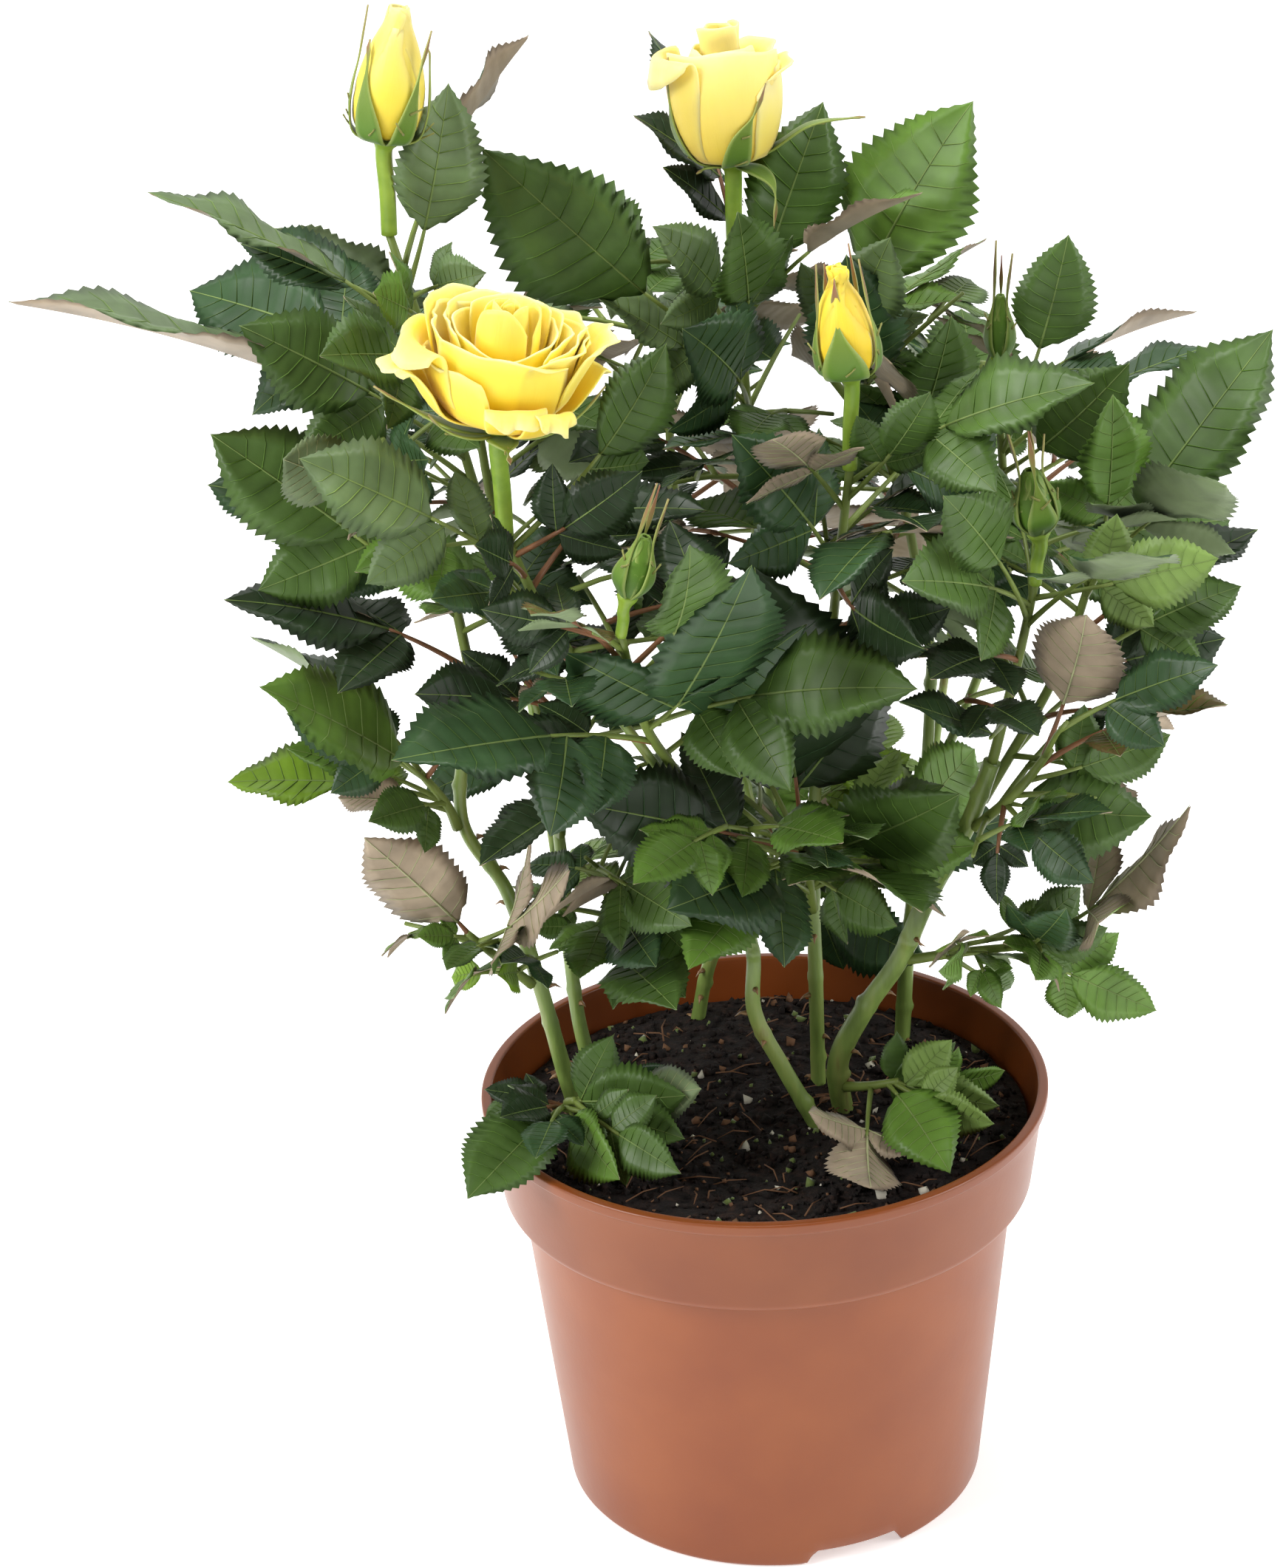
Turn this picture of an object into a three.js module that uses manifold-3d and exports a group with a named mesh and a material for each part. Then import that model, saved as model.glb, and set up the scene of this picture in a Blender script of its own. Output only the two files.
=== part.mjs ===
// A miniature rose bush in flower, in a round 13 cm nursery pot filled with peat.
// Millimetres, +Z up. The pot stands on z = 0 with its axis on Z, and -Y is the front.
// Seven canes rise from the peat. Each mass of leaves hangs on one stem of its own, and a
// seeded rule sets its leaves; the leaves that reach the edge of the crown are named one by one.
import * as THREE from "three";
import { mergeVertices } from "three/addons/utils/BufferGeometryUtils.js";
import Module from "manifold-3d";

const wasm = await Module();
wasm.setup();
const { Manifold, Mesh: SolidMesh } = wasm;

// ---- driving sizes ----
const CLEAR = 0.3; // gap between neighbouring solids
const POT = {
  height: 100,
  rim: 65, // outer radius over the lip
  lipTall: 2.7,
  bandTop: 63.9, // radius of the band just under the lip
  bandFoot: 61.1,
  bandTall: 24, // lip and band together
  bodyTop: 57,
  foot: 48.6,
  wall: 1.9,
  floor: 5,
  facets: 36,
};
const NOTCH = { count: 3, first: -70, wide: 24, tall: 3.7, inner: 22, slope: 2 };
const PEAT = { top: 93, edge: 90.4, shoulder: 53 };
const CANE_SIDES = 6;
const CANE_PIECES = 8; // lengths along the limb
const BOUGH_SIDES = 5;
const BOUGH_PIECES = 4;
const STEM = { foot: 1.15, tip: 0.85, sides: 3, pieces: 5 };
const PETIOLE = { foot: 0.6, tip: 0.45 };
const LEAF = {
  thick: 1.1,
  width: 0.66, // of its length
  belly: 0.4, // where it is widest
  shoulder: [0.74, 0.62], // place and width nearer the tip
  fold: 0.2,
  curl: 0.1,
  arch: 0.07, // rise of the stalk over its chord
  root: 1.6, // width of a side leaflet where it leaves the stalk
  spread: 60, // angle of a side leaflet to the stalk
  drop: 0.22,
  tilt: 0.15,
  pairs: [[0.86, 0.68], [0.5, 0.56], [0.25, 0.46]], // place along the stalk, size
};
const FILL = {
  low: 0.08, high: 0.98, // stretch of the stem that bears leaves
  golden: 137.5,
  wander: 15,
  rise: -6, climb: 44, sway: 12, // angle above the level at the foot, gain to the tip, chance
  taper: 0.25, least: 0.85, chance: 0.3, // length against place, and its spread
  roll: 25,
  share: 0.56,
  full: 0.7, // part of the leaves with five leaflets
};
const TURNS = [0, 14, -14, 28, -28]; // tried in turn when a leaf would touch a neighbour
const OVERLAP = 2; // a leaf may lean this much nearer to a neighbour's stem than to its own
const FRONT = new THREE.Vector3(0, -0.91, 0.41); // where the light falls from
const CROWN_AXIS = new THREE.Vector3(-12, 10, 0);
const UP = new THREE.Vector3(0, 0, 1);

// ---- canes: points from just under the top of the peat, where they are cut, to the tip ----
const CANES = {
  cane_left_front: {
    points: [
      [-41, -4, 92], [-45, -6, 106], [-50, -8, 132], [-56, -8, 155], [-65, -8, 174], [-61, -6, 204],
    ],
    foot: 2.3, tip: 1.4,
  },
  cane_left_back: {
    points: [[-36, 6, 92], [-41, 8, 108], [-43, 10, 127], [-44, 12, 155], [-47, 13, 188]],
    foot: 2.1, tip: 1.4,
  },
  cane_centre_front: {
    points: [[12, -9, 92], [4, -10, 109], [-2, -11, 124], [-2, -11, 140], [-7, -10, 157], [-15, -8, 178]],
    foot: 2.2, tip: 1.4,
  },
  cane_centre_back: {
    points: [[13, 12, 92], [13, 12, 120], [13, 12, 140], [14, 12, 168], [17, 8, 196]],
    foot: 2.0, tip: 1.4,
  },
  cane_back: {
    points: [[-14, 47, 92], [-10, 45, 110], [2, 41, 138], [5, 37, 165], [4, 32, 192]],
    foot: 2.0, tip: 1.4,
  },
  cane_right_front: {
    points: [
      [18, -1, 92], [17, -2, 105], [23, -5, 120], [31, -8, 134], [37, -11, 150], [46, -15, 170],
      [51, -18, 186],
    ],
    foot: 2.8, tip: 2.1,
  },
  cane_right_back: {
    points: [[34, 32, 92], [36, 32, 120], [40, 31, 155], [42, 30, 190]],
    foot: 2.1, tip: 1.4,
  },
};

// ---- boughs that leave a cane part of the way up ----
const BOUGHS = {
  bough_rose: {
    on: "cane_centre_front", at: 0.8, points: [[-20, -20, 186], [-36, -24, 213]],
    foot: 1.3, tip: 1.1,
  },
  bough_back_left: {
    on: "cane_left_back", at: 0.62, points: [[-48, 28, 172], [-52, 44, 200]],
    foot: 1.3, tip: 1.1,
  },
  bough_back: {
    on: "cane_back", at: 0.55, points: [[-4, 54, 165], [-12, 60, 196]],
    foot: 1.3, tip: 1.1,
  },
  bough_right: {
    on: "cane_right_back", at: 0.76, points: [[51, 27, 184], [58, 22, 208]],
    foot: 1.3, tip: 1.1,
  },
  bough_back_right: {
    on: "cane_right_back", at: 0.5, points: [[44, 45, 165], [50, 56, 196]],
    foot: 1.3, tip: 1.1,
  },
};

// ---- masses of leaves. A reach leaf is [place on the stem, tip x, y, z, turn of its face
// away from the front light, share of its length in the end leaflet, leaflets] ----
const SHOOTS = {
  foliage_middle: {
    on: "cane_centre_back", at: 0.5, points: [[11, 0, 156], [9, -14, 166]], size: 60, fill: 6,
    reach: [
      [0.9, 0, -28, 238, 15, 0.7, 3], [0.7, 44, -34, 186, 35, 0.72, 3],
      [0.6, -40, -32, 187, 25, 0.55, 3],
    ],
  },
  foliage_upper_left: {
    on: "cane_left_back", at: 1, points: [[-60, 11, 250], [-73, 5, 303]], size: 68, fill: 7,
    reach: [
      [0.45, -153, 0, 295, 72, 0.62, 1], [0.74, -123, 5, 314, 68, 0.66, 1],
      [0.88, -59, 15, 332, 25, 0.7, 1],
      [0.8, -106, 18, 298, 35, 0.62, 1], [0.4, -88, -6, 262, 60, 0.5, 3],
      [0.5, -104, -12, 290, 20, 0.5, 3], [0.7, -86, -34, 290, 15, 0.5, 3],
      [0.86, -53, -14, 300, 0, 0.5, 3],
      [0.8, -76, -26, 300, 10, 0.5, 3],
    ],
  },
  foliage_left: {
    on: "cane_left_front", at: 1, points: [[-66, -6, 235], [-77, -7, 262]], size: 68, fill: 7,
    reach: [
      [0.25, -114, 0, 262, 15, 0.55, 3], [0.9, -65, -34, 267, 15, 0.6, 3],
      [0.6, -96, -36, 269, 160, 0.5, 1],
      [0.05, -112, -14, 231, 48, 0.64, 3], [0.7, -85, -34, 261, 150, 0.5, 3],
    ],
  },
  foliage_left_low: {
    on: "cane_left_front", at: 0.8, points: [[-68, -12, 179], [-73, -15, 188]], size: 46, fill: 1,
    reach: [
      [0.95, -109, 4, 214, 78, 0.62, 1], [0.7, -104, -32, 217, 25, 0.74, 1],
      [0.5, -102, -14, 194, 50, 0.6, 1],
      [0.3, -91, -22, 186, 140, 0.6, 1], [0.9, -63, -26, 214, 80, 0.6, 1],
    ],
  },
  foliage_low_left: {
    on: "cane_left_front", at: 0.42, points: [[-58, -14, 141], [-65, -18, 150]], size: 40, fill: 0,
    reach: [
      [0.95, -86, -25, 177, 150, 0.88, 1], [0.85, -42, -40, 175, 115, 0.7, 3],
      [0.35, -70, -4, 132, 10, 0.6, 1], [0.2, -58, -30, 146, 20, 0.7, 1],
    ],
  },
  foliage_base_left: {
    on: "cane_left_front", at: 0.1, points: [[-45, -14, 104], [-43, -20, 108]], size: 44, fill: 0,
    reach: [
      [0.5, -67, -48, 99, 30, 0.72, 1], [0.95, -20, -48, 105, 15, 0.5, 5],
      [0.8, -15, -28, 114, 165, 0.6, 1],
    ],
  },
  foliage_rose: {
    on: "bough_rose", at: 1, points: [[-45, -30, 232], [-51, -35, 250]], size: 66, fill: 6,
    reach: [
      [0.85, -22, -44, 265, 20, 0.58, 3], [0.7, -57, -58, 256, 25, 0.5, 3],
      [0.4, -41, -52, 225, 30, 0.5, 3],
      [0.9, -15, -20, 284, 40, 0.5, 3], [0.55, -66, -54, 243, 40, 0.5, 3],
    ],
  },
  foliage_centre: {
    on: "cane_centre_front", at: 1, points: [[-24, -32, 205], [-28, -56, 235]], size: 68, fill: 8,
    reach: [
      [0.45, -2, -66, 252, 45, 0.72, 3], [0.75, -12, -78, 262, 60, 0.5, 1],
      [0.8, -46, -78, 250, 110, 0.4, 3], [0.35, -57, -42, 206, 35, 0.5, 3],
    ],
  },
  foliage_top: {
    on: "cane_back", at: 1, points: [[2, 26, 245], [0, 25, 290]], size: 70, fill: 8,
    reach: [
      [0.72, -52, 16, 319, -40, 0.62, 1], [0.8, 19, 38, 319, 15, 0.66, 1], [0.8, -17, 8, 302, 25, 0.6, 3],
      [0.6, -12, -14, 287, 20, 0.58, 3], [0.76, 0, 2, 306, 30, 0.6, 3], [0.6, -30, 16, 284, 40, 0.5, 3],
    ],
  },
  foliage_top_right: {
    on: "cane_right_back", at: 1, points: [[34, 31, 235], [17, 30, 264]], size: 68, fill: 8,
    reach: [
      [0.9, 50, 28, 321, -30, 0.64, 1], [0.95, 33, 6, 298, 10, 0.56, 3], [0.6, 22, 8, 294, 15, 0.6, 1],
      [0.5, 58, 14, 282, 30, 0.6, 3],
    ],
  },
  foliage_yellow_bud: {
    on: "cane_centre_back", at: 1, points: [[19, -8, 228], [21, -24, 257]], size: 68, fill: 8,
    reach: [
      [0.8, 4, -46, 273, 150, 0.55, 3], [0.5, -4, -30, 268, 20, 0.6, 3], [0.45, 33, -50, 226, 50, 0.6, 3],
      [0.85, 38, -32, 276, 30, 0.5, 3], [0.25, 42, -28, 226, 30, 0.5, 3],
    ],
  },
  foliage_right: {
    on: "bough_right", at: 1, points: [[58, 24, 228], [57, 25, 250]], size: 60, fill: 7,
    reach: [
      [0.8, 72, 20, 292, 10, 0.62, 1], [0.7, 84, 8, 265, 20, 0.7, 1], [0.6, 40, 0, 262, 20, 0.55, 3],
    ],
  },
  foliage_far_right: {
    on: "cane_right_front", at: 0.9, points: [[66, -8, 202], [76, 0, 226]], size: 62, fill: 6,
    reach: [
      [0.8, 116, 8, 271, -38, 0.62, 1], [0.5, 103, -4, 208, 20, 0.6, 3], [0.95, 78, -5, 264, 25, 0.6, 3],
    ],
  },
  foliage_right_front: {
    on: "cane_right_front", at: 1, points: [[56, -24, 212], [59, -30, 232]], size: 56, fill: 5,
    reach: [
      [0.9, 96, -38, 240, 20, 0.55, 3], [0.85, 28, -60, 246, 35, 0.58, 3],
      [0.75, 38, -52, 262, 20, 0.5, 3],
      [0.5, 35, -54, 222, 60, 0.55, 3],
    ],
  },
  foliage_right_low: {
    on: "cane_right_front", at: 0.86, points: [[56, -28, 184], [62, -33, 195]], size: 50, fill: 2,
    reach: [
      [0.85, 69, -48, 232, 165, 0.65, 1], [0.3, 84, -30, 176, 15, 0.88, 1],
      [0.3, 50, -36, 160, 30, 0.5, 3],
    ],
  },
  foliage_low_right: {
    on: "cane_right_front", at: 0.52, points: [[45, -12, 137], [60, -14, 139]], size: 40, fill: 0,
    reach: [
      [0.98, 93, -28, 178, 112, 0.64, 3], [0.9, 88, -18, 124, 25, 0.62, 3],
      [0.55, 40, -34, 150, 140, 0.5, 3],
      [0.35, 57, 2, 120, 20, 0.5, 1], [0.8, 72, -4, 148, 20, 0.7, 1],
    ],
  },
  foliage_base_right: {
    on: "cane_right_front", at: 0.1, points: [[24, -10, 103], [30, -14, 106]], size: 44, fill: 0,
    reach: [
      [0.9, 50, -29, 102, 25, 0.6, 3], [0.5, 21, -54, 101, 165, 0.6, 3], [0.7, 55, -6, 103, 40, 0.5, 3],
    ],
  },
  foliage_left_inner: {
    on: "cane_left_back", at: 0.8, points: [[-42, -4, 184], [-42, -14, 204]], size: 62, fill: 9,
    reach: [[0.9, -72, -34, 214, 30, 0.6, 3]],
  },
  foliage_low_middle: {
    on: "cane_left_back", at: 0.5, points: [[-34, 4, 143], [-26, -4, 150]], size: 54, fill: 6,
    reach: [[0.6, -40, -28, 142, 25, 0.6, 3]],
  },
  foliage_low_back: {
    on: "cane_back", at: 0.3, points: [[6, 48, 128], [16, 46, 140]], size: 56, fill: 7,
    reach: [[0.5, 15, 26, 128, 40, 0.55, 3]],
  },
  foliage_back_left: {
    on: "bough_back_left", at: 1, points: [[-57, 52, 228], [-60, 56, 258]], size: 66, fill: 9, reach: [],
  },
  foliage_back: {
    on: "bough_back", at: 1, points: [[-15, 64, 228], [-15, 68, 264]], size: 66, fill: 9, reach: [],
  },
  foliage_back_right: {
    on: "bough_back_right", at: 1, points: [[54, 60, 222], [57, 62, 250]], size: 64, fill: 8, reach: [],
  },
};

// ---- flowers and buds: foot of the calyx, top, widest radius ----
const BLOOMS = {
  bud_upper_left: {
    on: "foliage_upper_left", base: [-72.6, 5, 322.5], top: [-67.5, 5, 352],
    r: 7.6, stalk: 1.8, kind: "bud",
  },
  bloom_top: {
    on: "foliage_top", base: [0, 25, 309], top: [-2, 25, 341],
    r: 13.4, stalk: 1.9, kind: "half",
  },
  bloom_rose: {
    on: "foliage_rose", base: [-51, -40, 273.5], top: [-47, -38, 304.5],
    r: 23.6, stalk: 1.9, kind: "open",
  },
  bud_yellow: {
    on: "foliage_yellow_bud", base: [21.5, -25, 277], top: [19, -25, 302],
    r: 6.3, stalk: 1.65, kind: "bud",
  },
  bud_green_right: {
    on: "foliage_right", base: [57, 25, 262.5], top: [57.5, 25, 290],
    r: 2.7, stalk: 1.2, kind: "green",
  },
  bud_green_front: {
    on: "foliage_right_front", base: [59.5, -33, 243.7], top: [56, -34, 271],
    r: 4.4, stalk: 1.5, kind: "green",
  },
  bud_green_centre: {
    on: "foliage_centre", base: [-26.5, -59, 244], top: [-18.5, -60, 269],
    r: 3.4, stalk: 1.3, kind: "green",
  },
};

// ---- looks: colour, roughness and metalness of each kind of sub-part ----
const LOOKS = {
  plastic: { color: 0xb2684a, roughness: 0.45, metalness: 0 },
  peat: { color: 0x2b1d18, roughness: 0.95, metalness: 0 },
  cane: { color: 0x7fa35a, roughness: 0.6, metalness: 0 },
  leaf: { color: 0x2f5232, roughness: 0.5, metalness: 0 },
  petal: { color: 0xf8e04c, roughness: 0.6, metalness: 0 },
  sepal: { color: 0x8fb548, roughness: 0.55, metalness: 0 },
};

// ---- numbers: a Park-Miller sequence, one for each mass ----
function sequence(seed) {
  let x = seed;
  const next = () => {
    x = (x * 16807) % 2147483647;
    return x / 2147483647;
  };
  return { next, spread: (a) => (next() * 2 - 1) * a };
}

// ---- vectors and curves ----
const vector = (p) => new THREE.Vector3(...p);
const rad = THREE.MathUtils.degToRad;
const plus = (p, ...terms) => terms.reduce((sum, [v, k]) => sum.addScaledVector(v, k), p.clone());
const square = (v, to) => plus(v, [to, -v.dot(to)]).normalize();
const route = (points) => new THREE.CatmullRomCurve3(points, false, "catmullrom", 0.5);
const polar = (degrees) => new THREE.Vector3(Math.cos(rad(degrees)), Math.sin(rad(degrees)), 0);

// ---- solids ----
function solidOf(geometry) {
  geometry.deleteAttribute("normal");
  geometry.deleteAttribute("uv");
  const { attributes, index } = mergeVertices(geometry, 1e-4);
  return new Manifold(
    new SolidMesh({
      numProp: 3,
      vertProperties: attributes.position.array,
      triVerts: new Uint32Array(index.array),
    }),
  );
}

function surface(points, faces) {
  return solidOf(new THREE.BufferGeometry().setFromPoints(points).setIndex(faces.flat()));
}

// A tapering limb: a closed cylinder of few sides, bent along a curve.
function limb(curve, foot, tip, sides, pieces) {
  const geometry = new THREE.CylinderGeometry(tip, foot, 1, sides, pieces);
  const position = geometry.getAttribute("position");
  const { normals, binormals } = curve.computeFrenetFrames(pieces, false);
  for (let i = 0; i < position.count; i++) {
    const step = Math.round((position.getY(i) + 0.5) * pieces);
    const p = plus(
      curve.getPointAt(step / pieces),
      [normals[step], position.getX(i)],
      [binormals[step], -position.getZ(i)],
    );
    position.setXYZ(i, p.x, p.y, p.z);
  }
  return solidOf(geometry);
}

// A turned solid from [radius, height] pairs that start and end on the axis.
function turned(profile, facets) {
  const points = profile.map(([r, z]) => new THREE.Vector2(r, z));
  return solidOf(new THREE.LatheGeometry(points, facets).rotateX(Math.PI / 2));
}

// ---- blades: leaflets, petals and sepals ----
// The rim runs from one side of the root round the tip to the other side, by way of the belly
// and, on a large blade, a shoulder. The blade is folded along its midrib, droops to its tip,
// and is thick at the middle and sharp at the edge.
function bladePoints({ foot, ahead, up, long, wide, belly, shoulder, fold, curl, thick }) {
  const side = ahead.clone().cross(up);
  const at = (u, w) => {
    const lift = (Math.abs(w) * wide * fold) / 2 - curl * long * u * u;
    return plus(foot, [ahead, long * u], [side, (w * wide) / 2], [up, lift]);
  };
  const [su, sw] = shoulder || [];
  const rim = shoulder
    ? [at(belly, 1), at(su, sw), at(1, 0), at(su, -sw), at(belly, -1)]
    : [at(belly, 1), at(1, 0), at(belly, -1)];
  const middle = at(belly, 0);
  return { rim, middle, over: plus(middle, [up, thick / 2]), under: plus(middle, [up, -thick / 2]) };
}

// Adds a blade's faces from one root corner round the rim to the other, closing it underneath
// along the corners below the root.
function addBlade(points, faces, shape, from, to, below) {
  const { rim, over, under } = bladePoints(shape);
  const first = points.length;
  points.push(...rim, over, under);
  const top = first + rim.length;
  const loop = [from, ...rim.map((_, i) => first + i), to];
  for (let i = 0; i + 1 < loop.length; i++) {
    faces.push([top, loop[i], loop[i + 1]], [top + 1, loop[i + 1], loop[i]]);
  }
  if (from !== to) faces.push([top, to, from]);
  const path = [from, ...below, to];
  for (let i = 0; i + 1 < path.length && from !== to; i++) {
    faces.push([top + 1, path[i], path[i + 1]]);
  }
}

// A blade on its own, with its root at one point.
function blade(shape) {
  const points = [shape.foot];
  const faces = [];
  addBlade(points, faces, shape, 0, 0, []);
  return surface(points, faces);
}

// ---- one compound leaf: a three-sided stalk, an end leaflet and side leaflets in pairs ----
function compoundLeaf(foot, tip, turn, share, count, facing) {
  const long = tip.distanceTo(foot);
  const chord = tip.clone().sub(foot).normalize();
  const n = square(facing, chord).applyAxisAngle(chord, rad(turn));
  const s = chord.clone().cross(n);
  const at = (t) => plus(foot, [chord, long * t], [n, LEAF.arch * long * 4 * t * (1 - t)]);
  const heading = (t) => plus(chord, [n, LEAF.arch * 4 * (1 - 2 * t)]).normalize();
  const start = 1 - share;
  const { thick, belly, fold, curl } = LEAF;
  const leaflet = (from, ahead, facingUp, length, shoulder) => {
    const up = square(facingUp, ahead);
    const wide = length * LEAF.width;
    return { foot: from, ahead, up, long: length, wide, belly, shoulder, fold, curl, thick };
  };
  const endChord = tip.clone().sub(at(start)).normalize();
  const endAhead = plus(endChord, [square(n, endChord), curl]).normalize();
  const end = leaflet(at(start), endAhead, n, long * share, LEAF.shoulder);
  const pairs = LEAF.pairs.slice(0, (count - 1) / 2).map(([place, size]) => {
    const t = start * place;
    const both = [1, -1].map((way) => {
      const up = square(n, heading(t));
      const forward = Math.cos(rad(LEAF.spread));
      const across = Math.sin(rad(LEAF.spread)) * way;
      const ahead = plus(up, [up, -1 - LEAF.drop], [heading(t), forward], [s, across]).normalize();
      const from = plus(at(t), [s, way * PETIOLE.tip]);
      return leaflet(from, ahead, plus(up, [s, -LEAF.tilt * way]), long * share * size, null);
    });
    return { t, both };
  });
  return { at, heading, n, s, start, half: LEAF.root / 2 / long, end, pairs: pairs.reverse() };
}

// The stalk and its leaflets as one closed surface. A leaflet left out leaves a plain stalk.
function leafSolid({ at, heading, n, s, start, half, end, pairs }, keep) {
  const points = [];
  const faces = [];
  const ring = (t) => {
    const up = square(n, heading(t));
    const r = THREE.MathUtils.lerp(PETIOLE.foot, PETIOLE.tip, t / start);
    points.push(plus(at(t), [s, -r]), plus(at(t), [s, r]), plus(at(t), [up, -1.2 * r]));
    return points.length - 3; // left, right, below
  };
  const top = (i, j) => faces.push([i, i + 1, j + 1], [i, j + 1, j]);
  const right = (i, j) => faces.push([i + 1, i + 2, j + 2], [i + 1, j + 2, j + 1]);
  const left = (i, j) => faces.push([i + 2, i, j], [i + 2, j, j + 2]);
  let i = ring(0);
  faces.push([i, i + 2, i + 1]);
  const plainTo = (t) => {
    const j = ring(t);
    top(i, j);
    right(i, j);
    left(i, j);
    i = j;
  };
  if (!pairs.length) plainTo(start / 2);
  for (const { t, both } of pairs.filter((pair) => pair.both.some(keep))) {
    plainTo(t - half);
    const j = ring(t + half);
    top(i, j);
    if (keep(both[0])) addBlade(points, faces, both[0], i + 1, j + 1, [i + 2, j + 2]);
    else right(i, j);
    if (keep(both[1])) addBlade(points, faces, both[1], j, i, [j + 2, i + 2]);
    else left(i, j);
    i = j;
  }
  plainTo(start);
  if (keep(end)) addBlade(points, faces, end, i + 1, i, [i + 2]);
  else faces.push([i, i + 1, i + 2]);
  return surface(points, faces);
}

// ---- pot and peat ----
function potSolid() {
  const { height, rim, lipTall, bandTop, bandFoot, bandTall, bodyTop, foot, wall, floor, facets } = POT;
  const step = height - bandTall;
  const lip = height - lipTall;
  const outside = [
    [0, 0], [foot - 0.8, 0], [foot, 0.9], [bodyTop, step + 0.5],
    [bandFoot - 0.6, step], [bandFoot, step + 0.8], [bandTop, lip - 0.5],
    [rim - 0.4, lip], [rim, lip + 0.6], [rim, height - 0.7], [rim - 0.7, height],
  ];
  const inside = [
    [rim - 2.4, height], [bandTop - wall, lip - 1], [bandFoot - wall, step + 2],
    [bodyTop - wall, step - 3], [foot - wall + 0.6, floor], [0, floor],
  ];
  let pot = turned([...outside, ...inside], facets);
  for (let i = 0; i < NOTCH.count; i++) {
    pot = pot.subtract(notchSolid(NOTCH.first + (360 / NOTCH.count) * i));
  }
  return pot;
}

// A drain notch: a shallow channel with sloped sides, running out under the foot of the pot.
function notchSolid(degrees) {
  const { wide, tall, inner, slope } = NOTCH;
  const section = new THREE.Shape([
    new THREE.Vector2(-wide / 2 - slope / 2, -slope),
    new THREE.Vector2(wide / 2 + slope / 2, -slope),
    new THREE.Vector2(wide / 2 - slope, tall),
    new THREE.Vector2(-wide / 2 + slope, tall),
  ]);
  const geometry = new THREE.ExtrudeGeometry(section, { depth: POT.foot, bevelEnabled: false, steps: 1 });
  geometry.rotateX(Math.PI / 2).translate(0, POT.foot + inner, 0).rotateZ(rad(degrees - 90));
  return solidOf(geometry);
}

function peatSolid() {
  const { height, lipTall, bandTop, bandFoot, bandTall, bodyTop, foot, wall, floor, facets } = POT;
  const step = height - bandTall;
  const lip = height - lipTall;
  const wallAt = (z) => THREE.MathUtils.mapLinear(z, step + 2, lip - 1, bandFoot - wall, bandTop - wall);
  return turned(
    [
      [0, floor + CLEAR], [foot - wall + 0.4 - CLEAR, floor + CLEAR],
      [bodyTop - wall - CLEAR, step - 3.2], [bandFoot - wall - CLEAR - 0.2, step + 1.9],
      [wallAt(PEAT.edge) - CLEAR, PEAT.edge], [PEAT.shoulder, PEAT.top], [0, PEAT.top],
    ],
    facets,
  );
}

// ---- canes and boughs ----
// The place where a branch leaves a limb: clear of its cut tip or of its side, with room for
// the branch's own foot, which is cut square to its way.
function leaving({ curve, foot, tip }, at, toward, radius) {
  const p = curve.getPoint(at);
  const axis = curve.getTangent(at);
  const out = at === 1 ? axis : square(toward.clone().sub(p), axis);
  const edge = plus(p, [out, at === 1 ? 0 : THREE.MathUtils.lerp(foot, tip, at)]);
  const lean = toward.clone().sub(edge).normalize().dot(out);
  return plus(edge, [out, radius * Math.sqrt(1 - lean * lean) + CLEAR + 0.1]);
}

const limbs = {};
for (const [name, { points, foot, tip }] of Object.entries(CANES)) {
  const curve = route(points.map(vector));
  const whole = limb(curve, foot, tip, CANE_SIDES, CANE_PIECES);
  const solid = whole.trimByPlane([0, 0, 1], PEAT.top + CLEAR);
  limbs[name] = { curve, foot, tip, solid };
}
for (const [name, { on, at, points, foot, tip }] of Object.entries(BOUGHS)) {
  const [first, ...rest] = points.map(vector);
  const curve = route([leaving(limbs[on], at, first, foot), first, ...rest]);
  limbs[name] = { curve, foot, tip, solid: limb(curve, foot, tip, BOUGH_SIDES, BOUGH_PIECES) };
}

// ---- stems of the masses ----
const masses = Object.entries(SHOOTS).map(([name, shoot], i) => {
  const [first, ...rest] = shoot.points.map(vector);
  const curve = route([leaving(limbs[shoot.on], shoot.at, first, STEM.foot), first, ...rest]);
  const stem = limb(curve, STEM.foot, STEM.tip, STEM.sides, STEM.pieces);
  return { name, ...shoot, curve, spots: curve.getPoints(8), parts: [stem], seed: 7919 + i * 104729 };
});

// ---- flowers: built upright on the origin, then stood on their stalks ----
// Petals or sepals in a whorl: each starts near the axis and leans out.
function whorl({ count, first, radius, height, lean, long, wide, blunt, curl, thick }) {
  const broad = { belly: 0.6, shoulder: [0.93, 0.62], fold: 0.35 };
  const narrow = { belly: 0.3, shoulder: null, fold: 0.1 };
  const form = blunt ? broad : narrow;
  return Array.from({ length: count }, (_, i) => {
    const out = polar(first + (360 / count) * i);
    const ahead = plus(UP, [UP, Math.cos(rad(lean)) - 1], [out, Math.sin(rad(lean))]);
    const up = square(out.clone().negate(), ahead);
    const foot = plus(out, [out, radius - 1], [UP, height]);
    return blade({ foot, ahead, up, long, wide, curl, thick, ...form });
  });
}

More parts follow.
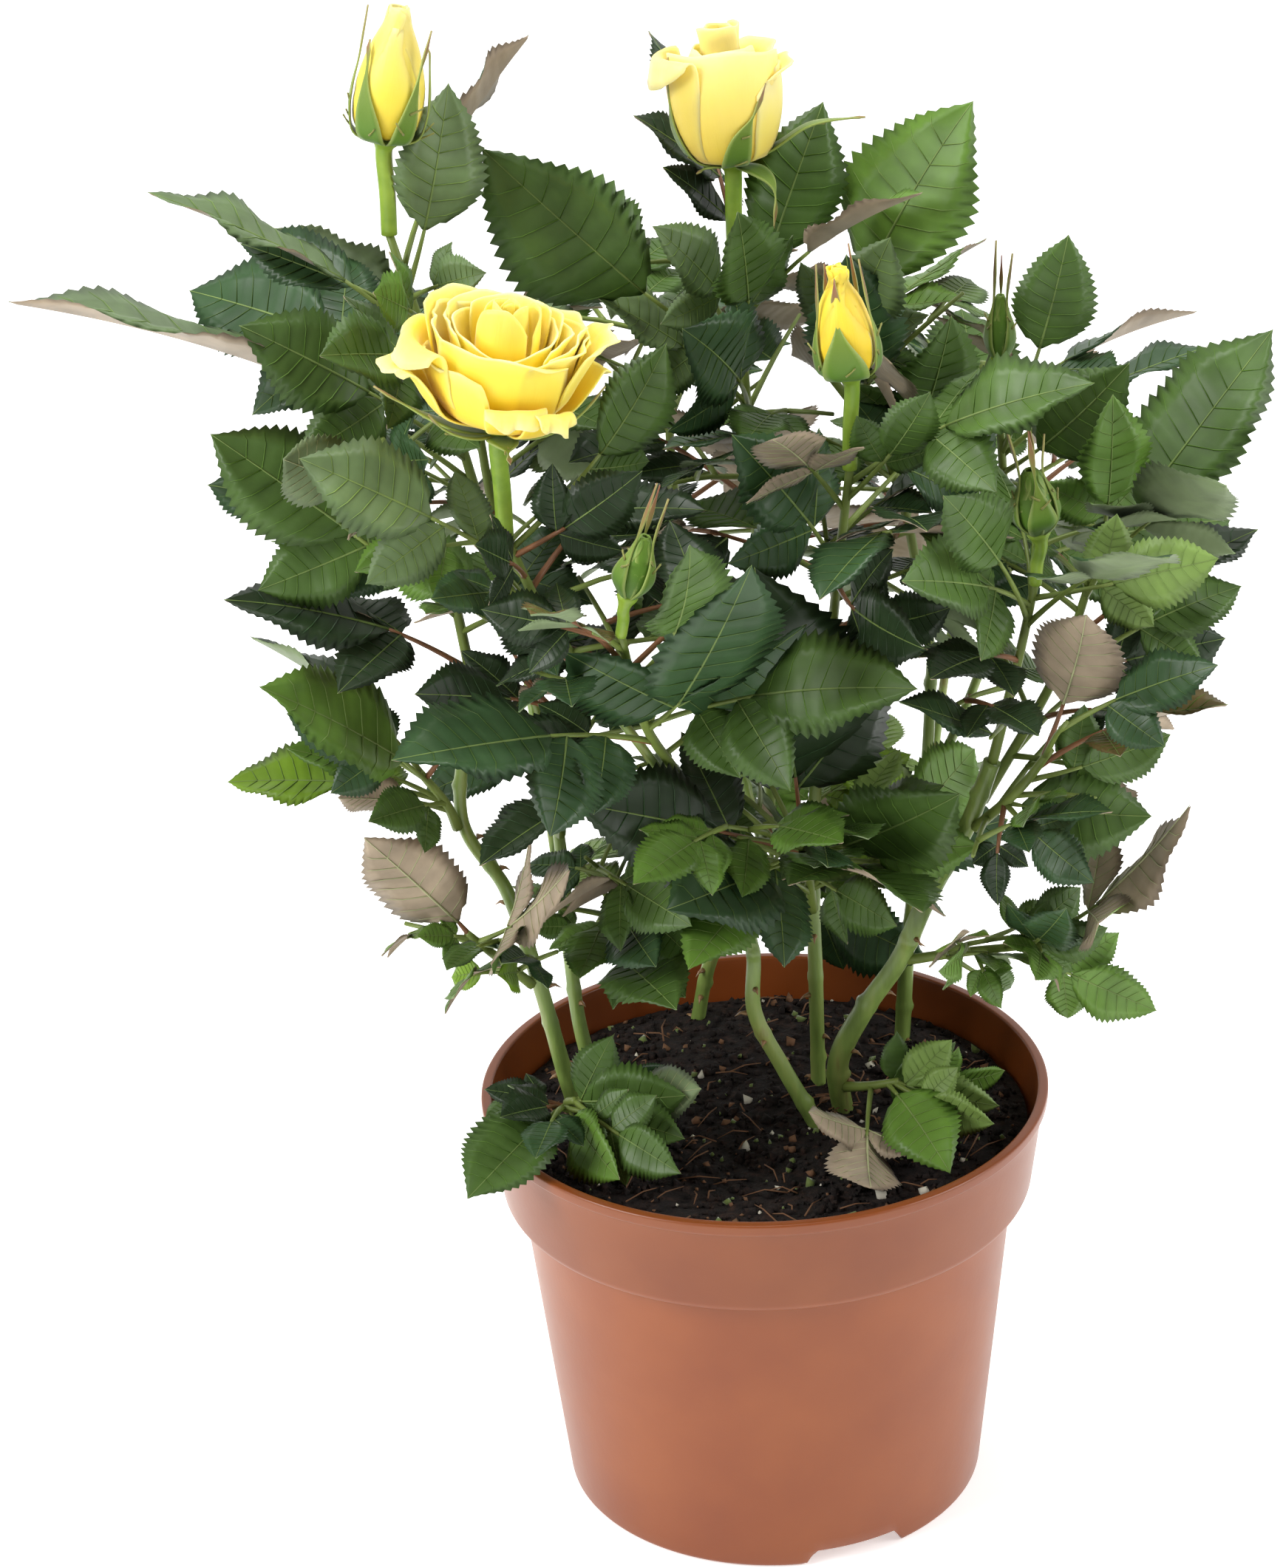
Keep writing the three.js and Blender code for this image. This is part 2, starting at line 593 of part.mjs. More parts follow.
const FLOWERS = {
  bud: (r, tall, hip) => [
    turned(
      [
        [0, 0], [hip, 0.6], [r * 0.9, tall * 0.16], [r, tall * 0.34], [r * 0.74, tall * 0.64],
        [r * 0.26, tall * 0.96], [0, tall],
      ],
      8,
    ),
    ...whorl({
      count: 4, first: 20, radius: 0.5, height: 0, lean: 25,
      long: tall * 0.86, wide: 5, curl: 0.02, thick: 1,
    }),
  ],
  green: (r, tall, hip) => [
    turned(
      [[0, 0], [hip, 0.5], [r, tall * 0.14], [r, tall * 0.34], [r * 0.45, tall * 0.62], [0, tall]],
      8,
    ),
    ...whorl({
      count: 3, first: 30, radius: 0.3, height: 0, lean: 17,
      long: tall * 0.94, wide: 3, curl: -0.06, thick: 1,
    }),
  ],
  half: (r, tall, hip) => [
    turned(
      [
        [0, 0], [hip, 0.6], [r * 0.66, tall * 0.18], [r * 0.84, tall * 0.46], [r * 0.8, tall * 0.78],
        [r * 0.42, tall * 0.8], [r * 0.38, tall], [0, tall],
      ],
      8,
    ),
    ...whorl({
      count: 3, first: 0, radius: 0.5, height: 0.2, lean: 62,
      long: tall * 0.98, wide: 4, curl: -0.35, thick: 1,
    }),
    ...whorl({
      count: 5, first: 20, radius: r * 0.6, height: tall * 0.32, lean: 16,
      long: tall * 0.54, wide: r * 1.15, blunt: true, curl: -0.1, thick: 1.3,
    }),
  ],
  open: (r, tall, hip) => [
    turned(
      [
        [0, 0], [hip, 0.6], [r * 0.4, tall * 0.16], [r * 0.72, tall * 0.5], [r * 0.8, tall * 0.82],
        [r * 0.5, tall], [0, tall * 0.94],
      ],
      12,
    ),
    ...whorl({
      count: 3, first: 160, radius: 0.5, height: 0.2, lean: 75,
      long: tall * 0.64, wide: 5, curl: -0.1, thick: 1,
    }),
    ...whorl({
      count: 6, first: 10, radius: r * 0.26, height: tall * 0.12, lean: 46,
      long: r * 1.05, wide: r * 1.05, blunt: true, curl: -0.02, thick: 1.4,
    }),
  ],
};

const blooms = Object.entries(BLOOMS).map(([name, { on, base, top, r, stalk, kind }]) => {
  const { curve } = masses.find((mass) => mass.name === on);
  const position = vector(base);
  const axis = vector(top).sub(position);
  const quaternion = new THREE.Quaternion().setFromUnitVectors(UP, axis.clone().normalize());
  const turnBack = quaternion.clone().invert();
  const start = plus(curve.getPoint(1), [curve.getTangent(1), CLEAR + 0.1]);
  const from = start.sub(position).applyQuaternion(turnBack);
  const way = route([from, from.clone().multiplyScalar(0.4), plus(UP, [UP, 1])]);
  const stem = limb(way, stalk * 0.95, stalk, 5, 3);
  const local = Manifold.union([stem, ...FLOWERS[kind](r, axis.length(), stalk * 1.5)]).simplify(0.01);
  const place = new THREE.Matrix4().compose(position, quaternion, new THREE.Vector3(1, 1, 1));
  return { name, kind, position, quaternion, local, solid: local.transform(place.elements) };
});

// ---- leaves ----
const pot = potSolid();
const peat = peatSolid();
const placed = [];
function place(solid, owner, isBlade) {
  placed.push({ solid, owner, isBlade, box: solid.boundingBox() });
}
for (const { solid } of [...Object.values(limbs), ...blooms]) place(solid);
place(pot);
place(peat);
for (const mass of masses) place(mass.parts[0], mass);

const beyond = (a, b, i) => a.min[i] - CLEAR > b.max[i] || b.min[i] - CLEAR > a.max[i];
const apart = (a, b) => [0, 1, 2].some((i) => beyond(a, b, i));

// Whether a solid stays clear of every other part, and off the leaflets of its own mass.
function isFree(solid, owner, isStalk) {
  const box = solid.boundingBox();
  return placed.every((other) => {
    const own = other.owner === owner;
    if ((own && isStalk && !other.isBlade) || apart(box, other.box)) return true;
    return solid.minGap(other.solid, 2 * CLEAR) >= (own ? CLEAR / 6 : CLEAR);
  });
}

// A mass keeps to the space nearer to its own stem than to any other.
function inOwnSpace(p, owner) {
  const away = (mass) => Math.min(...mass.spots.map((spot) => spot.distanceTo(p)));
  const mine = away(owner);
  return masses.every((mass) => mass === owner || away(mass) > mine - OVERLAP);
}

// Adds a leaf without the leaflets that would touch something. Returns whether it was added.
function grow(mass, leaf, allowed, needsEnd) {
  const way = route([0, 0.5, 1].map((t) => leaf.at(t * leaf.start)));
  const stalk = limb(way, PETIOLE.foot, PETIOLE.tip, 3, 2);
  if (!isFree(stalk, mass, true)) return false;
  const kept = new Map();
  for (const leaflet of [leaf.end, ...leaf.pairs.flatMap((pair) => pair.both)]) {
    const solid = blade({ ...leaflet, foot: plus(leaflet.foot, [leaflet.ahead, PETIOLE.foot]) });
    if (allowed(bladePoints(leaflet).middle) && isFree(solid, mass, false)) kept.set(leaflet, solid);
  }
  if (!kept.size || (needsEnd && !kept.has(leaf.end))) return false;
  mass.parts.push(leafSolid(leaf, (leaflet) => kept.has(leaflet)));
  place(stalk, mass, false);
  for (const solid of kept.values()) place(solid, mass, true);
  return true;
}

function growReach(mass, [at, x, y, z, turn, share, count]) {
  const foot = mass.curve.getPoint(at);
  const tip = new THREE.Vector3(x, y, z);
  TURNS.some((extra) => {
    const leaf = compoundLeaf(foot, tip, turn + extra, share, count, FRONT);
    return grow(mass, leaf, () => true, true);
  });
}

function growFill(mass) {
  const draw = sequence(mass.seed);
  const phase = draw.next() * 360;
  for (let k = 0; k < mass.fill; k++) {
    const at = FILL.low + ((FILL.high - FILL.low) * (k + 0.5)) / mass.fill;
    const turn = phase + k * FILL.golden + draw.spread(FILL.wander);
    const rise = rad(FILL.rise + FILL.climb * at + draw.spread(FILL.sway));
    const long = mass.size * (1.05 - FILL.taper * at) * (FILL.least + FILL.chance * draw.next());
    const roll = draw.spread(FILL.roll);
    const count = draw.next() < FILL.full ? 5 : 3;
    const foot = mass.curve.getPoint(at);
    const tip = plus(foot, [polar(turn), long * Math.cos(rise)], [UP, long * Math.sin(rise)]);
    const outward = plus(foot, [tip, 1]).multiplyScalar(0.5).sub(CROWN_AXIS).setZ(0).normalize();
    const facing = plus(outward.multiplyScalar(0.55), [UP, 0.85]);
    const leaf = compoundLeaf(foot, tip, roll, FILL.share, count, facing);
    grow(mass, leaf, (p) => inOwnSpace(p, mass), false);
  }
}

for (const mass of masses) for (const row of mass.reach) growReach(mass, row);
for (const mass of masses) growFill(mass);

// ---- the scene graph ----
function mesh(name, solid, look) {
  const { numProp, numVert, vertProperties, triVerts } = solid.getMesh();
  const positions = new Float32Array(numVert * 3);
  for (let i = 0; i < numVert; i++) {
    positions.set(vertProperties.subarray(i * numProp, i * numProp + 3), i * 3);
  }
  const geometry = new THREE.BufferGeometry()
    .setAttribute("position", new THREE.BufferAttribute(positions, 3))
    .setIndex(new THREE.BufferAttribute(new Uint32Array(triVerts), 1));
  geometry.computeVertexNormals();
  const made = new THREE.Mesh(geometry, new THREE.MeshStandardMaterial(look));
  made.name = name;
  return made;
}

function group(...members) {
  return new THREE.Group().add(...members);
}

const flowers = blooms.map(({ name, kind, position, quaternion, local }) => {
  const made = mesh(name, local, kind === "green" ? LOOKS.sepal : LOOKS.petal);
  made.position.copy(position);
  made.quaternion.copy(quaternion);
  return made;
});

export default group(
  group(mesh("pot", pot, LOOKS.plastic), mesh("peat", peat, LOOKS.peat)),
  group(...Object.entries(limbs).map(([name, { solid }]) => mesh(name, solid, LOOKS.cane))),
  group(...masses.map(({ name, parts }) => mesh(name, Manifold.union(parts).simplify(0.01), LOOKS.leaf))),
  group(...flowers),
);
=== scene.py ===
import bpy
import numpy as np
from mathutils import Matrix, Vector
from mathutils.bvhtree import BVHTree


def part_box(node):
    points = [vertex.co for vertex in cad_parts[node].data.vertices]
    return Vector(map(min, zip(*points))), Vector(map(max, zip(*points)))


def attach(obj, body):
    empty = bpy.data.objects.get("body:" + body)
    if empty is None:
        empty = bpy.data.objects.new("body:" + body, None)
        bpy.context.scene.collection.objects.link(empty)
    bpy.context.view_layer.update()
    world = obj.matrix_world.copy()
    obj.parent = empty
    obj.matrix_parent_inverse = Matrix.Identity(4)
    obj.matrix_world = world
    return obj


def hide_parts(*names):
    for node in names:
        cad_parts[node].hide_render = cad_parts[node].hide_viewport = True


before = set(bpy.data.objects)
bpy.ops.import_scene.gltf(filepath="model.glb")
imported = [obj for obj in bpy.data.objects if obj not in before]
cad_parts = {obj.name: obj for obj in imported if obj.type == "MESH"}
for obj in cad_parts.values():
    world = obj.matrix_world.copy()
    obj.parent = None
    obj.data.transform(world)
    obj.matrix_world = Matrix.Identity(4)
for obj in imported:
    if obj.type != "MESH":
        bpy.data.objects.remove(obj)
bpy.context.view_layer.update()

MM = 0.001
UP = np.array([0.0, 0.0, 1.0])

# ---- sizes of the plant, in millimetres and degrees ----
# the way that placed leaves face, the middle of the crown, and the point that the lamps aim at
FRONT = np.array([0.0, -0.91, 0.41])
CROWN_AXIS = np.array([-12.0, 10.0, 0.0])
LIT = np.array([0.0, 0.0, 160.0])
# radii of stems, leaf stalks and side twigs: at the foot, at the tip, and the one that the rule
# keeps clear at the foot
STEM_FOOT, STEM_TIP, STEM_CLEAR = 1.25, 0.9, 1.15
PETIOLE_FOOT, PETIOLE_TIP = 0.75, 0.42
TWIG_FOOT, TWIG_TIP, TWIG_CLEAR = 0.75, 0.5, 0.7
# leaves, by their length: width of a leaflet, arch of the stalk, and how far the blade droops
LEAF_WIDTH = 0.66
LEAF_ARCH = 0.07
LEAF_CURL = 0.1
# the angle of a side leaflet to the stalk, and the share of the end leaflet in dealt leaves
LEAF_SPREAD = 60
FILL_SHARE, FINER_SHARE = 0.56, 0.62
# pairs of side leaflets: place on the stalk, and size to the end leaflet
PAIRS = ((0.86, 0.68), (0.5, 0.56), (0.25, 0.46))
# the golden angle, by which one leaf follows the next
GOLDEN = 137.5
# seeds of the masses, as in the solids, and the step to those of the finer growth
SEED, SEED_STEP, FINER_SEED = 7919, 104729, 15485863
# how a leaf that finds no room is rolled for another try, and how it is shortened
TURNS = (0, 14, -14, 28, -28)
TRIES = ((0, 1.0), (35, 1.0), (-35, 1.0), (0, 0.75), (60, 0.8), (-60, 0.8))
# leaves of a side twig: place along it, turn from it, size and leaflets
TWIG_LEAVES = ((1.0, 0, 0.8, 5), (0.7, 75, 0.7, 3), (0.45, -80, 0.64, 3))
TEETH = 18
# a branch starts clear of its limb by GAP in the rule, and its bark is put back in by ROOT
GAP = 0.4
ROOT = 2.2
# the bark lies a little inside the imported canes
SLIM = 0.9
LEAF_THICK = 0.32
PEAT_TOP = 93.0
# drain notches: their height, half their width, and how far from the axis they start
NOTCH_TALL, NOTCH_HALF, NOTCH_START = 3.7, 12.0, 22

# canes: points from the top of the peat to the tip, radius at each end
CANES = {
    "cane_left_front": ([
        (-41, -4, 92), (-45, -6, 106), (-50, -8, 132), (-56, -8, 155), (-65, -8, 174),
        (-61, -6, 204),
    ], 2.3, 1.4),
    "cane_left_back": ([
        (-36, 6, 92), (-41, 8, 108), (-43, 10, 127), (-44, 12, 155), (-47, 13, 188),
    ], 2.1, 1.4),
    "cane_centre_front": ([
        (12, -9, 92), (4, -10, 109), (-2, -11, 124), (-2, -11, 140), (-7, -10, 157), (-15, -8, 178),
    ], 2.2, 1.4),
    "cane_centre_back": ([
        (13, 12, 92), (13, 12, 120), (13, 12, 140), (14, 12, 168), (17, 8, 196),
    ], 2.0, 1.4),
    "cane_back": ([
        (-14, 47, 92), (-10, 45, 110), (2, 41, 138), (5, 37, 165), (4, 32, 192),
    ], 2.0, 1.4),
    "cane_right_front": ([
        (18, -1, 92), (17, -2, 105), (23, -5, 120), (31, -8, 134), (37, -11, 150),
        (46, -15, 170), (51, -18, 186),
    ], 2.8, 2.1),
    "cane_right_back": ([(34, 32, 92), (36, 32, 120), (40, 31, 155), (42, 30, 190)], 2.1, 1.4),
}

# boughs: the cane they leave, how far up it, their points, radius at each end
BOUGHS = {
    "bough_rose": ("cane_centre_front", 0.8, [(-20, -20, 186), (-36, -24, 213)], 1.3, 1.1),
    "bough_back_left": ("cane_left_back", 0.62, [(-48, 28, 172), (-52, 44, 200)], 1.3, 1.1),
    "bough_back": ("cane_back", 0.55, [(-4, 54, 165), (-12, 60, 196)], 1.3, 1.1),
    "bough_right": ("cane_right_back", 0.76, [(51, 27, 184), (58, 22, 208)], 1.3, 1.1),
    "bough_back_right": ("cane_right_back", 0.5, [(44, 45, 165), (50, 56, 196)], 1.3, 1.1),
}

# masses of leaves: the limb that bears the stem, how far up it, the stem's points, the length of
# a leaf, how many leaves and how many finer twigs are dealt out by the rule, and the leaves that
# reach the edge of the crown: place on the stem, tip, turn of the face, share of the end leaflet,
# leaflets, and the tone of the side that shows
SHOOTS = {
    "foliage_middle": ("cane_centre_back", 0.5, [(11, 0, 156), (9, -14, 166)], 60, 6, 18, [
        (0.9, 0, -28, 238, 15, 0.7, 3, "deep"), (0.7, 44, -34, 186, 35, 0.72, 3, "mid"),
        (0.6, -40, -32, 187, 25, 0.55, 3, "deep"),
    ]),
    "foliage_upper_left": ("cane_left_back", 1, [(-60, 11, 250), (-73, 5, 303)], 68, 7, 3, [
        (0.45, -153, 0, 295, 80, 0.62, 1, "grey"), (0.74, -123, 5, 314, 77, 0.66, 1, "grey"),
        (0.88, -59, 15, 332, 25, 0.7, 1, "grey"), (0.8, -106, 18, 298, 35, 0.62, 1, "blue"),
        (0.4, -88, -6, 262, 60, 0.5, 3, "blue"), (0.5, -104, -12, 290, 20, 0.5, 3, "mid"),
        (0.7, -86, -34, 290, 15, 0.5, 3, "mid"), (0.86, -53, -14, 300, 0, 0.5, 3, "grey"),
        (0.8, -76, -26, 300, 10, 0.5, 3, "fresh"),
    ]),
    "foliage_left": ("cane_left_front", 1, [(-66, -6, 235), (-77, -7, 262)], 68, 7, 3, [
        (0.25, -114, 0, 262, 15, 0.55, 3, "mid"), (0.9, -65, -34, 267, 15, 0.6, 3, "blue"),
        (0.6, -96, -36, 269, 160, 0.5, 1, "green"), (0.05, -112, -14, 231, 62, 0.64, 3, "deep"),
        (0.7, -85, -34, 261, 150, 0.5, 3, "taupe"),
    ]),
    "foliage_left_low": ("cane_left_front", 0.8, [(-68, -12, 179), (-73, -15, 188)], 46, 1, 2, [
        (0.95, -109, 4, 214, 78, 0.62, 1, "blue"), (0.7, -104, -32, 217, 48, 0.74, 1, "fresh"),
        (0.5, -102, -14, 194, 50, 0.6, 1, "fresh"), (0.3, -91, -22, 186, 140, 0.6, 1, "taupe"),
        (0.9, -63, -26, 214, 80, 0.6, 1, "taupe"),
    ]),
    "foliage_low_left": ("cane_left_front", 0.42, [(-58, -14, 141), (-65, -18, 150)], 40, 0, 8, [
        (0.95, -86, -25, 177, 150, 0.88, 1, "taupe"), (0.85, -42, -40, 175, 115, 0.7, 3, "taupe"),
        (0.35, -70, -4, 132, 10, 0.6, 1, "bright"), (0.2, -58, -30, 146, 20, 0.7, 1, "bright"),
    ]),
    "foliage_base_left": ("cane_left_front", 0.1, [(-45, -14, 104), (-43, -20, 108)], 44, 0, 12, [
        (0.5, -67, -48, 99, 30, 0.72, 1, "mid"), (0.95, -20, -48, 105, 15, 0.5, 5, "mid"),
        (0.8, -15, -28, 114, 165, 0.6, 1, "green"),
    ]),
    "foliage_rose": ("bough_rose", 1, [(-45, -30, 232), (-51, -35, 250)], 66, 6, 5, [
        (0.85, -22, -44, 265, 20, 0.58, 3, "deep"), (0.7, -57, -58, 256, 25, 0.5, 3, "deep"),
        (0.4, -41, -52, 225, 30, 0.5, 3, "blue"), (0.9, -15, -20, 284, 40, 0.5, 3, "mid"),
        (0.55, -66, -54, 243, 40, 0.5, 3, "blue"),
    ]),
    "foliage_centre": ("cane_centre_front", 1, [(-24, -32, 205), (-28, -56, 235)], 68, 8, 8, [
        (0.45, -2, -66, 252, 45, 0.72, 3, "blue"), (0.75, -12, -78, 262, 60, 0.5, 1, "mid"),
        (0.8, -46, -78, 250, 110, 0.4, 3, "bronze"), (0.35, -57, -42, 206, 35, 0.5, 3, "deep"),
    ]),
    "foliage_top": ("cane_back", 1, [(2, 26, 245), (0, 25, 290)], 70, 8, 6, [
        (0.72, -52, 16, 319, -40, 0.62, 1, "mid"), (0.8, 19, 38, 319, 15, 0.66, 1, "mid"),
        (0.8, -17, 8, 302, 25, 0.6, 3, "grey"), (0.6, -12, -14, 287, 20, 0.58, 3, "blue"),
        (0.76, 0, 2, 306, 30, 0.6, 3, "mid"), (0.6, -30, 16, 284, 40, 0.5, 3, "grey"),
    ]),
    "foliage_top_right": ("cane_right_back", 1, [(34, 31, 235), (17, 30, 264)], 68, 8, 8, [
        (0.9, 50, 28, 321, -30, 0.64, 1, "fresh"), (0.95, 33, 6, 298, 10, 0.56, 3, "grey"),
        (0.6, 22, 8, 294, 15, 0.6, 1, "blue"), (0.5, 46, 12, 278, 30, 0.6, 3, "mid"),
    ]),
    "foliage_yellow_bud": ("cane_centre_back", 1, [(19, -8, 228), (21, -24, 257)], 68, 8, 8, [
        (0.8, 4, -46, 273, 150, 0.55, 3, "taupe"), (0.5, -4, -30, 268, 20, 0.6, 3, "blue"),
        (0.45, 33, -50, 226, 50, 0.6, 3, "deep"), (0.85, 38, -32, 276, 30, 0.5, 3, "mid"),
        (0.25, 42, -28, 226, 30, 0.5, 3, "deep"),
    ]),
    "foliage_right": ("bough_right", 1, [(58, 24, 228), (57, 25, 250)], 60, 7, 6, [
        (0.8, 72, 20, 292, 10, 0.48, 1, "mid"), (0.7, 84, 8, 265, 20, 0.7, 1, "mid"),
        (0.6, 40, 0, 262, 20, 0.55, 3, "blue"),
    ]),
    "foliage_far_right": ("cane_right_front", 0.9, [(66, -8, 202), (76, 0, 226)], 62, 6, 5, [
        (0.8, 116, 8, 271, -38, 0.62, 1, "mid"), (0.5, 103, -4, 208, 20, 0.6, 3, "deep"),
        (0.95, 78, -5, 264, 25, 0.6, 3, "fresh"),
    ]),
    "foliage_right_front": ("cane_right_front", 1, [(56, -24, 212), (59, -30, 232)], 56, 5, 7, [
        (0.9, 96, -38, 240, 20, 0.55, 3, "light"), (0.85, 28, -60, 246, 35, 0.58, 3, "mid"),
        (0.75, 38, -52, 262, 20, 0.5, 3, "mid"), (0.5, 35, -54, 222, 60, 0.55, 3, "deep"),
    ]),
    "foliage_right_low": ("cane_right_front", 0.86, [(56, -28, 184), (62, -33, 195)], 50, 2, 9, [
        (0.85, 69, -48, 232, 165, 0.65, 1, "taupe"), (0.3, 84, -30, 176, 15, 0.88, 1, "mid"),
        (0.3, 50, -36, 160, 30, 0.5, 3, "deep"),
    ]),
    "foliage_low_right": ("cane_right_front", 0.52, [(45, -12, 137), (60, -14, 139)], 40, 0, 11, [
        (0.98, 93, -28, 178, 112, 0.64, 3, "taupe"), (0.9, 88, -18, 124, 25, 0.62, 3, "fresh"),
        (0.55, 40, -34, 150, 140, 0.5, 3, "taupe"), (0.35, 57, 2, 120, 20, 0.5, 1, "mid"),
        (0.8, 72, -4, 148, 20, 0.7, 1, "mid"),
    ]),
    "foliage_base_right": ("cane_right_front", 0.1, [(24, -10, 103), (30, -14, 106)], 44, 0, 10, [
        (0.9, 50, -29, 102, 25, 0.6, 3, "light"), (0.5, 21, -54, 101, 165, 0.6, 3, "taupe"),
        (0.7, 55, -6, 103, 40, 0.5, 3, "fresh"),
    ]),
    "foliage_left_inner": ("cane_left_back", 0.8, [(-42, -4, 184), (-42, -14, 204)], 62, 9, 16, [
        (0.9, -72, -34, 214, 30, 0.6, 3, "deep"),
    ]),
    "foliage_low_middle": ("cane_left_back", 0.5, [(-34, 4, 143), (-26, -4, 150)], 54, 6, 24, [
        (0.6, -40, -28, 142, 25, 0.6, 3, "fresh"),
    ]),
    "foliage_low_back": ("cane_back", 0.3, [(6, 48, 128), (16, 46, 140)], 56, 7, 20, [
        (0.5, 15, 26, 128, 40, 0.55, 3, "mid"),
    ]),
    "foliage_back_left": ("bough_back_left", 1, [(-57, 52, 228), (-60, 56, 258)], 66, 9, 9, []),
    "foliage_back": ("bough_back", 1, [(-15, 64, 228), (-15, 68, 264)], 66, 9, 9, []),
    "foliage_back_right": ("bough_back_right", 1, [(54, 60, 222), (57, 62, 250)], 64, 8, 9, []),
}

# more leaves of the same kind, within the reach of their mass, which the solids leave out: the
# same row as for the leaves that reach the edge
MORE = {
    "foliage_base_left": [
        (0.95, -18, -27, 112, 20, 0.92, 3, "mid"), (0.6, -33, -44, 100, 10, 0.8, 3, "fresh"),
        (0.8, -22, -12, 112, 30, 0.6, 3, "green"), (0.3, -60, -30, 110, 40, 0.6, 3, "deep"),
    ],
    "foliage_base_right": [
        (0.95, 52, -18, 100, 20, 0.9, 3, "light"), (0.4, 12, -36, 102, 10, 0.76, 3, "mid"),
        (0.8, 40, -40, 98, 20, 0.82, 3, "fresh"), (0.6, 44, -6, 110, 30, 0.8, 3, "green"),
    ],
    "foliage_low_left": [
        (0.6, -52, -30, 136, 20, 0.66, 3, "mid"), (0.9, -76, -22, 152, 25, 0.62, 3, "fresh"),
        (0.7, -50, -22, 160, 20, 0.6, 3, "mid"),
    ],
    "foliage_low_middle": [
        (0.5, -46, -26, 138, 20, 0.84, 3, "fresh"), (0.8, -12, -14, 133, 20, 0.62, 3, "bronze"),
        (0.9, -14, -30, 146, 10, 0.62, 3, "mid"), (0.3, -52, 4, 140, 30, 0.6, 3, "mid"),
        (0.7, -24, -38, 150, 15, 0.6, 3, "blue"),
    ],
    "foliage_low_back": [
        (0.5, 40, 26, 117, 30, 0.62, 3, "blue"), (0.8, 50, 34, 134, 20, 0.62, 3, "mid"),
        (0.4, -20, 30, 120, 30, 0.6, 3, "mid"), (0.9, 22, 25, 140, 20, 0.6, 3, "green"),
    ],
    "foliage_low_right": [
        (0.8, 76, -22, 146, 20, 0.62, 3, "mid"), (0.95, 66, -34, 158, 15, 0.6, 3, "blue"),
        (0.6, 52, -26, 130, 20, 0.6, 3, "fresh"),
    ],
    "foliage_middle": [
        (0.35, 30, -22, 150, 20, 0.6, 3, "mid"), (0.5, -20, -46, 166, 20, 0.62, 3, "blue"),
        (0.6, 20, -50, 172, 25, 0.6, 3, "deep"), (0.4, -24, -26, 150, 30, 0.6, 3, "mid"),
    ],
    "foliage_right_low": [
        (0.6, 88, -30, 196, 20, 0.62, 3, "mid"), (0.3, 70, -44, 168, 20, 0.6, 3, "blue"),
    ],
    "foliage_left_low": [
        (0.5, -84, -30, 184, 20, 0.66, 3, "mid"), (0.9, -100, -20, 206, 25, 0.6, 3, "blue"),
    ],
}

# flowers: the mass that bears it, foot of the calyx, top, widest radius, radius of the stalk
BLOOMS = {
    "bud_upper_left": ("foliage_upper_left", (-72.6, 5, 322.5), (-67.5, 5, 352), 7.6, 1.8),
    "bloom_top": ("foliage_top", (0, 25, 309), (-2, 25, 341), 13.4, 1.9),
    "bloom_rose": ("foliage_rose", (-51, -40, 273.5), (-47, -38, 304.5), 23.6, 1.9),
    "bud_yellow": ("foliage_yellow_bud", (21.5, -25, 277), (19, -25, 302), 6.3, 1.65),
    "bud_green_right": ("foliage_right", (57, 25, 262.5), (57.5, 25, 290), 2.7, 1.2),
    "bud_green_front": ("foliage_right_front", (59.5, -33, 243.7), (56, -34, 271), 4.4, 1.5),
    "bud_green_centre": ("foliage_centre", (-26.5, -59, 244), (-18.5, -60, 269), 3.4, 1.3),
}


# ---- colours and materials ----
def linear(code):
    """An sRGB hex colour as linear red, green, blue and alpha."""
    c = np.array([int(code[i : i + 2], 16) for i in (1, 3, 5)]) / 255
    return (*np.where(c <= 0.04045, c / 12.92, ((c + 0.055) / 1.055) ** 2.4), 1.0)


def node(tree, kind, inputs=(), **settings):
    """Adds one shader node with its settings. An input is a value, or another node's output."""
    made = tree.nodes.new(kind)
    for name, value in settings.items():
        setattr(made, name, value)
    for name, value in dict(inputs).items():
        if isinstance(value, bpy.types.NodeSocket):
            tree.links.new(value, made.inputs[name])
        else:
            made.inputs[name].default_value = value
    return made


def socket_title(word):
    """The title of the shader's socket that a keyword stands for."""
    return "IOR" if word == "ior" else word.replace("_", " ").title()


def material(name, **inputs):
    """A surface with one principled shader. Returns the material, its tree and the shader."""
    made = bpy.data.materials.new(name)
    made.use_nodes = True
    tree = made.node_tree
    tree.nodes.clear()
    titled = {socket_title(word): value for word, value in inputs.items()}
    shader = node(tree, "ShaderNodeBsdfPrincipled", titled)
    node(tree, "ShaderNodeOutputMaterial", {"Surface": shader.outputs[0]})
    return made, tree, shader


def ramp(tree, factor, *stops):
    """A colour ramp through (place, hex) stops."""
    made = node(tree, "ShaderNodeValToRGB", {"Fac": factor})
    elements = made.color_ramp.elements
    while len(elements) < len(stops):
        elements.new(0.5)
    for element, (place, code) in zip(elements, stops):
        element.position = place
        element.color = linear(code)
    return made.outputs["Color"]


def paint(tree, shader, colour):
    """Gives the shader its base colour from another node's output."""
    tree.links.new(colour, shader.inputs["Base Color"])


def object_spot(tree):
    """The place on the surface, in object space."""
    return node(tree, "ShaderNodeTexCoord").outputs["Object"]


def attribute(tree, name):
    """A value that the mesh carries at its points."""
    return node(tree, "ShaderNodeAttribute", attribute_name=name).outputs["Fac"]


def noise(tree, millimetres, detail=3.0, vector=None):
    """Cloudy noise whose patches are about that many millimetres across, in object space."""
    vector = vector or object_spot(tree)
    inputs = {"Vector": vector, "Scale": 1000.0 / millimetres, "Detail": detail}
    return node(tree, "ShaderNodeTexNoise", inputs).outputs["Fac"]


